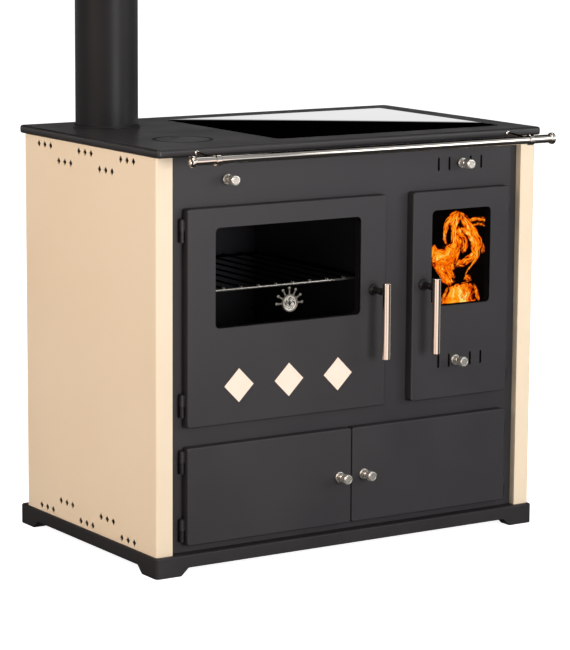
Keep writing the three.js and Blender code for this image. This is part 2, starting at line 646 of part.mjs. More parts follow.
function hob() {
  const group = new THREE.Group();
  const side = halfWidth + TOP_OVERHANG.side;
  const front = -TOP_OVERHANG.front;
  const back = BODY_DEPTH + TOP_OVERHANG.back;
  const glass = {
    left: -halfWidth + HOB_GLASS.fromLeft, right: halfWidth - HOB_GLASS.fromRight,
    front: HOB_GLASS.fromFront, back: BODY_DEPTH - HOB_GLASS.fromBack,
  };
  const slab = pillowRaised(roundedRectangle(-side, front, side, back, TOP_CORNER_RADIUS),
    bodyTop, TOP_THICKNESS, TOP_EDGE_RADIUS);
  const pocket = block([-side + TOP_RIM.side, front + TOP_RIM.front, bodyTop - 1],
    [side - TOP_RIM.side, back - TOP_RIM.back, topUnderside]);
  const glassSeat = raised(roundedRectangle(glass.left - SEAT_GAP, glass.front - SEAT_GAP,
    glass.right + SEAT_GAP, glass.back + SEAT_GAP, HOB_GLASS.cornerRadius),
  WORKTOP_HEIGHT - HOB_GLASS.thickness, HOB_GLASS.thickness + 1);
  const glassWell = block([glass.left + HOB_GLASS_LEDGE, glass.front + HOB_GLASS_LEDGE, bodyTop - 1],
    [glass.right - HOB_GLASS_LEDGE, glass.back - HOB_GLASS_LEDGE, WORKTOP_HEIGHT]);
  const lidSeatZ = WORKTOP_HEIGHT - LID_SEAT_DEPTH;
  const lidHole = turnedUp([[0, bodyTop - 1], [LID_PLUG_RADIUS + HOB_GLASS_LEDGE, bodyTop - 1],
    [LID_PLUG_RADIUS + HOB_GLASS_LEDGE, lidSeatZ], [LID_RING_RADIUS + SEAT_GAP, lidSeatZ],
    [LID_RING_RADIUS + SEAT_GAP, WORKTOP_HEIGHT + 1], [0, WORKTOP_HEIGHT + 1]],
  roundZoneX, LID_FROM_FRONT, LARGE_ROUND);
  const pipeSeatZ = WORKTOP_HEIGHT - PIPE_SEAT_DEPTH;
  const pipeHole = turnedUp([[0, bodyTop - 1], [PIPE_RADIUS - PIPE_WALL, bodyTop - 1],
    [PIPE_RADIUS - PIPE_WALL, pipeSeatZ], [PIPE_RADIUS + SEAT_GAP, pipeSeatZ],
    [PIPE_RADIUS + SEAT_GAP, WORKTOP_HEIGHT + 1], [0, WORKTOP_HEIGHT + 1]],
  roundZoneX, PIPE_FROM_FRONT, LARGE_ROUND);
  addPiece(group, "top_frame", cut(slab, pocket, glassSeat, glassWell, lidHole, pipeHole), FINISH.blackTop());

  addPiece(group, "hob_glass",
    pillowRaised(roundedRectangle(glass.left, glass.front, glass.right, glass.back, HOB_GLASS.cornerRadius),
      WORKTOP_HEIGHT - HOB_GLASS.thickness + SEAT_GAP, HOB_GLASS.thickness, HOB_GLASS.edge, 1),
    FINISH.hobGlass());

  const ringBottom = lidSeatZ + SEAT_GAP;
  const lipTop = ringBottom + LID_LIP;
  const lidHoleRadius = LID_RADIUS + SEAT_GAP;
  addPiece(group, "lid_ring",
    turnedUp([[LID_PLUG_RADIUS + SEAT_GAP, ringBottom], [LID_RING_RADIUS, ringBottom],
      [LID_RING_RADIUS, WORKTOP_HEIGHT], [lidHoleRadius, WORKTOP_HEIGHT], [lidHoleRadius, lipTop],
      [LID_PLUG_RADIUS + SEAT_GAP, lipTop], [LID_PLUG_RADIUS + SEAT_GAP, ringBottom]],
    roundZoneX, LID_FROM_FRONT, LARGE_ROUND),
    FINISH.castIron());
  const lidDisc = turnedUp([[0, ringBottom], [LID_PLUG_RADIUS, ringBottom], [LID_PLUG_RADIUS, lipTop + SEAT_GAP],
    [LID_RADIUS, lipTop + SEAT_GAP], [LID_RADIUS, WORKTOP_HEIGHT - 1], [LID_RADIUS - 1, WORKTOP_HEIGHT],
    [0, WORKTOP_HEIGHT]], roundZoneX, LID_FROM_FRONT, LARGE_ROUND);
  const lifterSlot = raised(slotShape(roundZoneX, LID_FROM_FRONT + LID_SLOT.offset, LID_SLOT.length, LID_SLOT.width),
    WORKTOP_HEIGHT - LID_SLOT.depth, LID_SLOT.depth + 1);
  addPiece(group, "lid", cut(lidDisc, lifterSlot), FINISH.castIron());

  addPiece(group, "flue_pipe",
    turnedUp(ringProfile(PIPE_RADIUS - PIPE_WALL, PIPE_RADIUS, pipeSeatZ + SEAT_GAP, WORKTOP_HEIGHT + PIPE_LENGTH),
      roundZoneX, PIPE_FROM_FRONT, LARGE_ROUND),
    FINISH.blackSteel());
  const collarBottom = WORKTOP_HEIGHT + SEAT_GAP;
  const collarTop = collarBottom + COLLAR_HEIGHT;
  const collarInner = PIPE_RADIUS + SEAT_GAP;
  addPiece(group, "flue_collar",
    turnedUp([[collarInner, collarBottom], [COLLAR_RADIUS, collarBottom], [COLLAR_RADIUS, collarTop - COLLAR_EDGE],
      [COLLAR_RADIUS - COLLAR_EDGE, collarTop], [collarInner, collarTop], [collarInner, collarBottom]],
    roundZoneX, PIPE_FROM_FRONT, LARGE_ROUND),
    FINISH.blackSteel());
  return group;
}

// ---------------------------------------------------------------- towel rail

/** Half of the rail's turned outline, from its middle to the dished face of its end cap. */
function railHalfProfile() {
  const end = railHalfLength;
  const start = end - RAIL_CAP.length;
  const { radius, edge, dish } = RAIL_CAP;
  return [[RAIL_RADIUS, start], [radius - edge, start], [radius, start + edge], [radius, end - edge],
    [radius - edge, end], [RAIL_RADIUS - edge, end], [RAIL_RADIUS - edge - 1, end - dish], [0, end - dish]];
}

function towelRail() {
  const group = new THREE.Group();
  const right = railHalfProfile();
  const left = right.map(([radius, along]) => [radius, -along]).reverse();
  addPiece(group, "towel_rail", turnedAcross([...left, ...right], railY, railZ), FINISH.chrome());

  const armFoot = [railBracketX, -TOP_OVERHANG.front - SEAT_GAP, railZ + RAIL_ARM_RISE];
  const ring = turnedAcross(barProfile(RAIL_RING.radius, railBracketX - RAIL_RING.width / 2,
    railBracketX + RAIL_RING.width / 2), railY, railZ);
  const arm = barBetween([railBracketX, railY, railZ], [armFoot[0], armFoot[1] - 1, armFoot[2]], RAIL_ARM_RADIUS, HINGE_ROUND);
  const foot = turnedForward(barProfile(RAIL_ARM_FOOT.radius, 0, RAIL_ARM_FOOT.depth), ...armFoot);
  const bore = turnedAcross(barProfile(RAIL_RADIUS + SEAT_GAP, railBracketX - RAIL_RING.width,
    railBracketX + RAIL_RING.width), railY, railZ);
  const bracket = cut(joined(ring, arm, foot), bore);
  addPiece(group, "rail_bracket_right", bracket, FINISH.chrome());
  addPiece(group, "rail_bracket_left", bracket.clone(), FINISH.chrome(), true);
  return group;
}

// ---------------------------------------------------------------- oven

function oven() {
  const group = new THREE.Group();
  const back = behindPlate + OVEN_DEPTH;
  const outer = upright(areaShape(insetArea(ovenAperture, -OVEN_SHEET), APERTURE_RADIUS + OVEN_SHEET),
    behindPlate, OVEN_DEPTH + OVEN_SHEET);
  const hollow = upright(areaShape(ovenAperture, APERTURE_RADIUS), behindPlate - 1, OVEN_DEPTH + 1);
  const runners = RUNNER.levels.flatMap((level) => {
    const top = ovenFloor + level;
    return [
      block([ovenAperture.left - 1, behindPlate + SHELF_FRONT, top - RUNNER.thickness],
        [ovenAperture.left + RUNNER.width, back - 1, top]),
      block([ovenAperture.right - RUNNER.width, behindPlate + SHELF_FRONT, top - RUNNER.thickness],
        [ovenAperture.right + 1, back - 1, top]),
    ];
  });
  addPiece(group, "oven_box", joined(cut(outer, hollow), ...runners), FINISH.ovenEnamel());

  const left = ovenAperture.left + SHELF_INSET;
  const right = ovenAperture.right - SHELF_INSET;
  const front = behindPlate + SHELF_FRONT;
  const rear = front + SHELF_DEPTH;
  const barZ = shelfZ + SHELF_WIRE_RADIUS + SHELF_BAR_RADIUS - SHELF_BAR_SINK;
  const frame = [
    barBetween([left, front, shelfZ], [right, front, shelfZ], SHELF_WIRE_RADIUS, WIRE_ROUND),
    barBetween([left, rear, shelfZ], [right, rear, shelfZ], SHELF_WIRE_RADIUS, WIRE_ROUND),
    barBetween([left + SHELF_WIRE_RADIUS, front, shelfZ], [left + SHELF_WIRE_RADIUS, rear, shelfZ], SHELF_WIRE_RADIUS, WIRE_ROUND),
    barBetween([right - SHELF_WIRE_RADIUS, front, shelfZ], [right - SHELF_WIRE_RADIUS, rear, shelfZ], SHELF_WIRE_RADIUS, WIRE_ROUND),
  ];
  const pitch = (right - left - 2 * SHELF_BAR_INSET) / (SHELF_BARS - 1);
  const bars = centredSteps(SHELF_BARS, pitch).map((x) => barBetween(
    [ovenAperture.midX + x, front - SHELF_WIRE_RADIUS, barZ], [ovenAperture.midX + x, rear + SHELF_WIRE_RADIUS, barZ],
    SHELF_BAR_RADIUS, WIRE_ROUND));
  addPiece(group, "oven_shelf", joined(...frame, ...bars), FINISH.brightWire());
  return group;
}

// ---------------------------------------------------------------- firebox

function firebox() {
  const group = new THREE.Group();
  const sheet = FIREBOX_SHEET;
  const back = fireShellBack;
  const floor = fireShell.bottom;
  const top = fireShell.top;
  const outer = block([fireShell.left - sheet, behindPlate, floor - sheet], [fireShell.right + sheet, back + sheet, top]);
  const hollow = block([fireShell.left, behindPlate - 1, floor], [fireShell.right, back, top + 1]);
  const ledgeTop = floor + ASH_SPACE_HEIGHT;
  const ledges = [
    [[fireShell.left - 1, behindPlate, ledgeTop - GRATE_LEDGE.thickness],
      [fireShell.left + GRATE_LEDGE.width, back + 1, ledgeTop]],
    [[fireShell.right - GRATE_LEDGE.width, behindPlate, ledgeTop - GRATE_LEDGE.thickness],
      [fireShell.right + 1, back + 1, ledgeTop]],
  ].map(([low, high]) => block(low, high));
  addPiece(group, "firebox_shell", joined(cut(outer, hollow), ...ledges), FINISH.castIron());

  const brickBottom = grateTop + SEAT_GAP;
  const brickTop = top - BRICK_TOP_GAP;
  const brickFront = behindPlate + SEAT_GAP;
  const backBrickFront = back - FIREBRICK;
  const wallGap = 2 * SEAT_GAP;
  const courseZ = (brickBottom + brickTop) / 2;
  const half = BRICK_COURSE_GROOVE / 2;
  for (const [name, inner, outerFace] of [
    ["firebrick_left", fireboxAperture.left, fireShell.left + wallGap],
    ["firebrick_right", fireboxAperture.right, fireShell.right - wallGap],
  ]) {
    const low = Math.min(inner, outerFace);
    const high = Math.max(inner, outerFace);
    const slab = block([low, brickFront, brickBottom], [high, backBrickFront - wallGap, brickTop]);
    const inward = inner === low ? [inner - 1, inner + half] : [inner - half, inner + 1];
    addPiece(group, name,
      cut(slab, block([inward[0], brickFront - 1, courseZ - half], [inward[1], backBrickFront, courseZ + half])),
      FINISH.firebrick());
  }
  const backSlab = block([fireShell.left + wallGap, backBrickFront, brickBottom],
    [fireShell.right - wallGap, back - wallGap, brickTop]);
  addPiece(group, "firebrick_back",
    cut(backSlab, block([fireShell.left, backBrickFront - 1, courseZ - half],
      [fireShell.right, backBrickFront + half, courseZ + half])),
    FINISH.firebrick());

  const grateArea = { left: fireShell.left + wallGap, right: fireShell.right - wallGap,
    front: brickFront, back: back - wallGap };
  const bed = { left: fireboxAperture.left + GRATE.edge / 2, right: fireboxAperture.right - GRATE.edge / 2,
    front: grateArea.front + GRATE.edge, back: backBrickFront - GRATE.edge };
  const rowDepth = (bed.back - bed.front - (GRATE.rows - 1) * GRATE.bridge) / GRATE.rows;
  const slotPitch = (bed.right - bed.left - GRATE.slotWidth) / (GRATE.slots - 1);
  const slots = steps(GRATE.rows).flatMap((row) => steps(GRATE.slots).map((index) => {
    const x = bed.left + GRATE.slotWidth / 2 + index * slotPitch;
    const y = bed.front + rowDepth / 2 + row * (rowDepth + GRATE.bridge);
    return raised(slotShape(x, y, GRATE.slotWidth, rowDepth, 0.5), grateBottom - 1, GRATE.thickness + 2);
  }));
  const slab = block([grateArea.left, grateArea.front, grateBottom], [grateArea.right, grateArea.back, grateTop]);
  addPiece(group, "fire_grate", cut(slab, pattern(slots)), FINISH.castIron());
  addPiece(group, "ash_pan", ashPanGeometry(), FINISH.greySteel());
  return group;
}

/** A shallow tray with a folded pull along its front. */
function ashPanGeometry() {
  const left = fireboxAperture.left + ASH_PAN.sideGap;
  const right = fireboxAperture.right - ASH_PAN.sideGap;
  const front = behindPlate + ASH_PAN.frontGap + ASH_PAN.pullDepth;
  const rear = front + ASH_PAN.length;
  const bottom = fireShell.bottom + SEAT_GAP;
  const top = bottom + ASH_PAN.height;
  const wall = ASH_PAN.wall;
  const tray = cut(block([left, front, bottom], [right, rear, top]),
    block([left + wall, front + wall, bottom + wall], [right - wall, rear - wall, top + 1]));
  const middle = fireboxAperture.midX;
  const pullTop = top - wall;
  const pull = across(new THREE.Shape([
    new THREE.Vector2(front + wall / 2, pullTop - wall),
    new THREE.Vector2(front + wall / 2, pullTop),
    new THREE.Vector2(front - ASH_PAN.pullDepth, pullTop),
    new THREE.Vector2(front - ASH_PAN.pullDepth, pullTop - 3 * ASH_PAN.pullDepth / 2),
    new THREE.Vector2(front - ASH_PAN.pullDepth + wall, pullTop - 3 * ASH_PAN.pullDepth / 2),
    new THREE.Vector2(front - ASH_PAN.pullDepth + wall, pullTop - wall),
  ]), middle - ASH_PAN.pullWidth / 2, ASH_PAN.pullWidth);
  return joined(tray, pull);
}

/** The smoke chamber over oven and firebox, open to the firebox below and to the hob above. */
function smokeChamber() {
  const side = halfWidth - CHAMBER_INSET.side;
  const front = CHAMBER_INSET.front;
  const back = BODY_DEPTH - CHAMBER_INSET.back;
  const sheet = CHAMBER_SHEET;
  const top = topUnderside - SEAT_GAP;
  const tray = cut(block([-side, front, chamberFloor], [side, back, top]),
    block([-side + sheet, front + sheet, chamberFloor + sheet], [side - sheet, back - sheet, top + 1]));
  const throat = block([fireShell.left + sheet, front + sheet, chamberFloor - 1],
    [fireShell.right - sheet, fireShellBack - sheet, chamberFloor + sheet + 1]);
  const portBack = back - sheet - (DAMPER.plateDepth - DAMPER_PORT.depth) / 2 - 1;
  const port = block([roundZoneX - DAMPER_PORT.width / 2, portBack - DAMPER_PORT.depth, chamberFloor - 1],
    [roundZoneX + DAMPER_PORT.width / 2, portBack, chamberFloor + sheet + 1]);
  const rodHole = turnedForward(barProfile(DAMPER.rodRadius + RUNNING_GAP, -1, sheet + 1),
    damperX, front + sheet, controlZ);
  const group = new THREE.Group();
  addPiece(group, "smoke_chamber", cut(tray, throat, port, rodHole), FINISH.castIron());
  return group;
}

// ---------------------------------------------------------------- knobs, air slides and damper

/** A turned knob standing on the face y = seat. */
function knobGeometry(x, seat, z) {
  const k = KNOB;
  return turnedForward([
    [0, SEAT_GAP], [k.roseRadius, SEAT_GAP], [k.roseRadius, k.rose - k.edge], [k.roseRadius - k.edge, k.rose],
    [k.neckRadius, k.rose], [k.neckRadius, k.bodyStart], [k.bodyRadius, k.bodyFull],
    [k.bodyRadius, k.bodyEnd], [k.waistRadius, k.waist], [k.headRadius, k.head],
    [k.headRadius, k.length - k.headBevel], [k.headRadius - k.bevelWidth, k.length], [0, k.length],
  ], x, seat, z, KNOB_ROUND);
}

/** A slotted plate with a stem that reaches the face; its slots line up with those in front of it. */
function airSlideGeometry(midX, midZ, face, behind, stemX) {
  const halfLength = (AIR_SLOT.count - 1) / 2 * AIR_SLOT.pitch + AIR_SLIDE.margin;
  const plate = upright(roundedRectangle(midX - halfLength, midZ - AIR_SLIDE.height / 2,
    midX + halfLength, midZ + AIR_SLIDE.height / 2, AIR_SLIDE.cornerRadius), behind, AIR_SLIDE.thickness);
  const slots = airSlotShapes(midX, midZ, AIR_SLIDE.slotWiden)
    .map((shape) => upright(shape, behind - 1, AIR_SLIDE.thickness + 2));
  const stem = turnedForward(barProfile(AIR_SLIDE.stemRadius, -AIR_SLIDE.thickness / 2, behind - face), stemX, behind, midZ);
  return joined(cut(plate, pattern(slots)), stem);
}

function secondaryAir() {
  const group = new THREE.Group();
  const stemX = secondaryAirX + SECONDARY_AIR.knobOffset;
  addPiece(group, "secondary_air_slide",
    airSlideGeometry(secondaryAirX, controlZ, plateFront, behindPlate, stemX), FINISH.blackSteel());
  addPiece(group, "secondary_air_knob", knobGeometry(stemX, plateFront, controlZ), FINISH.nickel());
  return group;
}

function damper() {
  const group = new THREE.Group();
  addPiece(group, "damper_knob", knobGeometry(damperX, plateFront, controlZ), FINISH.nickel());

  const plateRear = BODY_DEPTH - CHAMBER_INSET.back - CHAMBER_SHEET - 1;
  const plateFace = plateRear - DAMPER.plateDepth;
  const plateZ = chamberFloor + CHAMBER_SHEET + SEAT_GAP;
  const plate = block([roundZoneX - DAMPER.plateWidth / 2, plateFace, plateZ],
    [roundZoneX + DAMPER.plateWidth / 2, plateRear, plateZ + DAMPER.plateThickness]);
  const tab = block([damperX - DAMPER.tabWidth / 2, plateFace, plateZ],
    [damperX + DAMPER.tabWidth / 2, plateFace + DAMPER.plateThickness, controlZ + 3 * DAMPER.rodRadius]);
  const rod = barBetween([damperX, plateFront, controlZ], [damperX, plateFace + 1, controlZ], DAMPER.rodRadius, HINGE_ROUND);
  addPiece(group, "damper_slide", joined(plate, tab, rod), FINISH.blackSteel());
  return group;
}

// ---------------------------------------------------------------- hinges

/** Places of a door's hinges: the middles of the lower and the upper one. */
function hingeHeights(area, inset) {
  return { lower: area.bottom + inset, upper: area.top - inset };
}

/** The hinge half fixed to the front plate: lower knuckle, leaf and pin. */
function fixedHingeGeometry(axisX, midZ) {
  const bottom = midZ - KNUCKLE_LENGTH - KNUCKLE_GAP / 2;
  const top = midZ - KNUCKLE_GAP / 2;
  const pinTop = midZ + KNUCKLE_GAP / 2 + KNUCKLE_LENGTH;
  const knuckle = turnedUp(barProfile(KNUCKLE_RADIUS, bottom, top), axisX, hingeY, HINGE_ROUND);
  const pin = turnedUp([[0, top - 1], [PIN_RADIUS, top - 1], [PIN_RADIUS, pinTop + SEAT_GAP],
    [PIN_RADIUS + 1, pinTop + SEAT_GAP], [PIN_RADIUS + 1, pinTop + PIN_HEAD], [PIN_RADIUS, pinTop + PIN_HEAD + 1],
    [0, pinTop + PIN_HEAD + 1]], axisX, hingeY, HINGE_ROUND);
  const leaf = block([axisX - HINGE_LEAF_WIDTH / 2, hingeY, bottom],
    [axisX + HINGE_LEAF_WIDTH / 2, plateFront - SEAT_GAP, top]);
  return joined(knuckle, pin, leaf);
}

/** A door with its upper knuckles welded to its hinge edge; toDoor is +1 where the door lies to the right. */
function withKnuckles(door, axisX, toDoor, heights) {
  const solids = [door];
  const bores = [];
  for (const midZ of Object.values(heights)) {
    const bottom = midZ + KNUCKLE_GAP / 2;
    const top = bottom + KNUCKLE_LENGTH;
    const reach = axisX + toDoor * (HINGE_OFFSET + DOOR_SHEET / 2);
    solids.push(turnedUp(barProfile(KNUCKLE_RADIUS, bottom, top), axisX, hingeY, HINGE_ROUND));
    solids.push(block([Math.min(axisX, reach), hingeY - KNUCKLE_ARM / 2, bottom],
      [Math.max(axisX, reach), hingeY + KNUCKLE_ARM / 2, top]));
    bores.push(turnedUp(barProfile(PIN_RADIUS + RUNNING_GAP, bottom - 1, top + 1), axisX, hingeY, HINGE_ROUND));
  }
  return cut(joined(...solids), pattern(bores));
}

// ---------------------------------------------------------------- doors

/** A folded steel tray, open at the back, as a door's front. */
function doorTray(area) {
  const outer = pillowUpright(areaShape(area, DOOR_CORNER_RADIUS), doorFace,
    DOOR_DEPTH + DOOR_FOLD_RADIUS, DOOR_FOLD_RADIUS, 3);
  const inner = insetArea(area, DOOR_SHEET);
  const hollow = upright(areaShape(inner, DOOR_CORNER_RADIUS - DOOR_SHEET),
    doorFace + DOOR_SHEET, DOOR_DEPTH + DOOR_FOLD_RADIUS);
  const behind = upright(areaShape(insetArea(area, -1), 0), doorBack, DOOR_FOLD_RADIUS + 1);
  return cut(outer, hollow, behind);
}

/** The window of a door, centred between its sides. */
function windowArea(area, side) {
  return frontArea(area.left + side, area.top - WINDOW_FROM_TOP - WINDOW_HEIGHT,
    area.right - side, area.top - WINDOW_FROM_TOP);
}

/** Inner sheet of a glazed door, with a channel for the seal and a collar that clamps the glass. */
function linerGeometry(area, window, openings) {
  const edge = insetArea(area, DOOR_SHEET + SEAT_GAP);
  const glassBack = doorFace + DOOR_SHEET + SEAT_GAP + DOOR_GLASS;
  const channelOuter = SEAL.fromEdge - SEAT_GAP;
  const channelInner = SEAL.fromEdge + SEAL.width + SEAT_GAP;
  const channelFloor = doorBack + DOOR_BACK_GAP - SEAT_GAP - SEAL.depth - SEAT_GAP;
  const ribFront = channelFloor - LINER_SHEET;
  const sheet = upright(areaShape(edge, DOOR_CORNER_RADIUS - DOOR_SHEET), doorBack - LINER_SHEET, LINER_SHEET);
  const rib = upright(withHole(areaShape(edge, DOOR_CORNER_RADIUS - DOOR_SHEET),
    areaShape(insetArea(area, channelInner + SEAL_CHANNEL_WALL), APERTURE_RADIUS)), ribFront, doorBack - ribFront);
  const channel = upright(withHole(areaShape(insetArea(area, channelOuter), DOOR_CORNER_RADIUS),
    areaShape(insetArea(area, channelInner), APERTURE_RADIUS)), channelFloor, doorBack - channelFloor + 1);
  const collar = upright(areaShape(insetArea(window, -LINER_COLLAR), WINDOW_RADIUS + LINER_COLLAR),
    glassBack + SEAT_GAP, doorBack - glassBack - SEAT_GAP);
  const opening = upright(areaShape(window, WINDOW_RADIUS), glassBack - 1, doorBack - glassBack + 2);
  return cut(joined(sheet, rib, collar), channel, opening, ...openings);
}

/** A glazed door: tray, liner, glass and seal rope, added to the group under a shared name. */
function glazedDoor(group, name, area, windowSide, spindleX, spindleZ, hinge, extra) {
  const window = windowArea(area, windowSide);
  const opening = upright(areaShape(window, WINDOW_RADIUS), doorFace - 1, DOOR_SHEET + 2);
  const spindleHole = turnedForward(barProfile(SPINDLE_RADIUS + RUNNING_GAP, -DOOR_DEPTH - 2, 2),
    spindleX, doorFace, spindleZ);
  const tray = cut(doorTray(area), opening, spindleHole, ...extra.tray);
  addPiece(group, `${name}_door_skin`,
    withKnuckles(tray, hinge.x, hinge.toDoor, hingeHeights(area, UPPER_HINGE_INSET)), FINISH.blackPaint());
  addPiece(group, `${name}_door_liner`, linerGeometry(area, window, [spindleHole, ...extra.liner]), FINISH.blackSteel());

  const glassFront = doorFace + DOOR_SHEET + SEAT_GAP;
  const pane = upright(areaShape(insetArea(window, -DOOR_GLASS_LAP), WINDOW_RADIUS), glassFront, DOOR_GLASS);
  addPiece(group, `${name}_door_glass`, extra.glass.length ? cut(pane, ...extra.glass) : pane, FINISH.glass());

  const ropeOuter = insetArea(area, SEAL.fromEdge);
  const ropeInner = insetArea(area, SEAL.fromEdge + SEAL.width);
  const rope = withHole(areaShape(ropeOuter, DOOR_CORNER_RADIUS), areaShape(ropeInner, APERTURE_RADIUS));
  const ropeFront = plateFront - SEAT_GAP - SEAL.depth;
  addPiece(group, `${name}_door_seal`, pillowUpright(rope, ropeFront, SEAL.depth, SEAL.edge, 1), FINISH.sealRope());
}

/** Rod handle on a post whose latch cam ends short of the jamb, the aperture's edge beside it. */
function doorHandle(group, name, spindleX, spindleZ, jambX) {
  const rodY = doorFace - HANDLE_STANDOFF;
  const bottom = spindleZ - HANDLE_BELOW_POST;
  const top = spindleZ + HANDLE_ABOVE_POST;
  addPiece(group, `${name}_handle_rod`,
    turnedUp([[0, bottom], [HANDLE_ROD_RADIUS - HANDLE_ROD_EDGE, bottom], [HANDLE_ROD_RADIUS, bottom + HANDLE_ROD_EDGE],
      [HANDLE_ROD_RADIUS, top - HANDLE_ROD_EDGE], [HANDLE_ROD_RADIUS - HANDLE_ROD_EDGE, top], [0, top]], spindleX, rodY),
    FINISH.chrome());

  const postEnd = HANDLE_STANDOFF - HANDLE_ROD_RADIUS - SEAT_GAP;
  const camFront = plateBack + CAM.behindPlate;
  const camBack = camFront + CAM.thickness;
  const post = turnedForward([
    [0, doorFace - camBack], [SPINDLE_RADIUS, doorFace - camBack], [SPINDLE_RADIUS, SEAT_GAP],
    [ROSETTE.radius, SEAT_GAP], [ROSETTE.radius, ROSETTE.depth - ROSETTE.edge],
    [ROSETTE.radius - ROSETTE.edge, ROSETTE.depth], [POST_RADIUS + POST_ROOT.flare, ROSETTE.depth],
    [POST_RADIUS, ROSETTE.depth + POST_ROOT.length], [POST_RADIUS, postEnd - POST_HEAD.start],
    [POST_RADIUS + POST_HEAD.flare, postEnd - POST_HEAD.full], [POST_RADIUS + POST_HEAD.flare, postEnd], [0, postEnd],
  ], spindleX, doorFace, spindleZ);
  const towardsJamb = Math.sign(jambX - spindleX);
  const jambEnd = jambX - towardsJamb * CAM.jambGap;
  const doorEnd = spindleX - towardsJamb * CAM.reach;
  const cam = upright(roundedRectangle(Math.min(jambEnd, doorEnd), spindleZ - CAM.width / 2,
    Math.max(jambEnd, doorEnd), spindleZ + CAM.width / 2, CAM.width / 2), camFront, CAM.thickness);
  addPiece(group, `${name}_handle_spindle`, joined(post, cam), FINISH.blackSteel());
}

/** Enamelled diamonds in a row on the oven door. */
function inlays(group) {
  centredSteps(INLAY_COUNT, INLAY_PITCH).forEach((step, index) => {
    const diamond = diamondShape(ovenDoorArea.midX + step, ovenDoorArea.bottom + INLAY_FROM_BOTTOM,
      INLAY_DIAGONAL, INLAY_DIAGONAL);
    addPiece(group, `diamond_inlay_${index + 1}`,
      pillowUpright(diamond, doorFace - SEAT_GAP - INLAY_THICKNESS, INLAY_THICKNESS, INLAY_EDGE, 1), FINISH.creamEnamel());
  });
}

/** Round oven thermometer with rays round its upper half, on a stem through the glass. */
function thermometer(group, midX, midZ, seat) {
  const body = turnedForward([
    [0, -THERMOMETER.stemLength], [THERMOMETER.stemRadius, -THERMOMETER.stemLength], [THERMOMETER.stemRadius, SEAT_GAP],
    [THERMOMETER.radius - 1, SEAT_GAP], [THERMOMETER.radius, SEAT_GAP + 1],
    [THERMOMETER.radius, THERMOMETER.depth - 1], [THERMOMETER.radius - 1, THERMOMETER.depth],
    [THERMOMETER.radius - THERMOMETER.rim, THERMOMETER.depth],
    [THERMOMETER.radius - THERMOMETER.rim, THERMOMETER.depth - THERMOMETER.faceDepth],
    [0, THERMOMETER.depth - THERMOMETER.faceDepth],
  ], midX, seat, midZ, DIAL_ROUND);
  const rays = steps(RAYS.count).map((index) => {
    const angle = index * RAYS.spread / (RAYS.count - 1);
    const front = seat - SEAT_GAP - 1 - RAYS.thickness;
    const ray = upright(roundedRectangle(THERMOMETER.radius - 2, -RAYS.width / 2, RAYS.reach, RAYS.width / 2, 0.2, 1),
      front, RAYS.thickness);
    const tip = turnedForward(barProfile(RAYS.tipRadius, 0, RAYS.thickness + RAYS.tipRise), RAYS.reach, front + RAYS.thickness, 0, HINGE_ROUND);
    return joined(ray, tip).rotateY(-angle).translate(midX, 0, midZ);
  });
  addPiece(group, "oven_thermometer", joined(body, ...rays), FINISH.dial());

  const faceY = seat - THERMOMETER.depth + THERMOMETER.faceDepth - SEAT_GAP;
  const pointer = upright(new THREE.Shape([
    new THREE.Vector2(midX - NEEDLE.width / 2, midZ - NEEDLE.tail),
    new THREE.Vector2(midX + NEEDLE.width / 2, midZ - NEEDLE.tail),
    new THREE.Vector2(midX + NEEDLE.point / 2, midZ + NEEDLE.length),
    new THREE.Vector2(midX - NEEDLE.point / 2, midZ + NEEDLE.length),
  ]), faceY - NEEDLE.thickness, NEEDLE.thickness);
  const hub = turnedForward(barProfile(NEEDLE.hubRadius, 0, NEEDLE.thickness + NEEDLE.hubRise), midX, faceY, midZ);
  addPiece(group, "thermometer_needle", joined(pointer, hub), FINISH.needle());
}

function ovenDoor() {
  const group = new THREE.Group();
  const area = ovenDoorArea;
  const spindleX = area.right - OVEN_HANDLE_INSET;
  const spindleZ = area.midZ + HANDLE_ABOVE_CENTRE;
  const hinge = { x: area.left - HINGE_OFFSET, toDoor: 1 };
  const window = windowArea(area, OVEN_WINDOW_SIDE);
  const glassFront = doorFace + DOOR_SHEET + SEAT_GAP;
  const dialZ = window.bottom + THERMOMETER.fromWindowBottom;
  const stemHole = turnedForward(barProfile(THERMOMETER.stemRadius + RUNNING_GAP, -DOOR_GLASS - 1, 1),
    area.midX, glassFront, dialZ);
  glazedDoor(group, "oven", area, OVEN_WINDOW_SIDE, spindleX, spindleZ, hinge, { tray: [], liner: [], glass: [stemHole] });
  doorHandle(group, "oven", spindleX, spindleZ, ovenAperture.right);
  inlays(group);
  thermometer(group, area.midX, dialZ, glassFront);
  for (const [place, midZ] of Object.entries(hingeHeights(area, UPPER_HINGE_INSET))) {
    addPiece(group, `oven_hinge_${place}`, fixedHingeGeometry(hinge.x, midZ), FINISH.blackSteel());
  }
  return group;
}

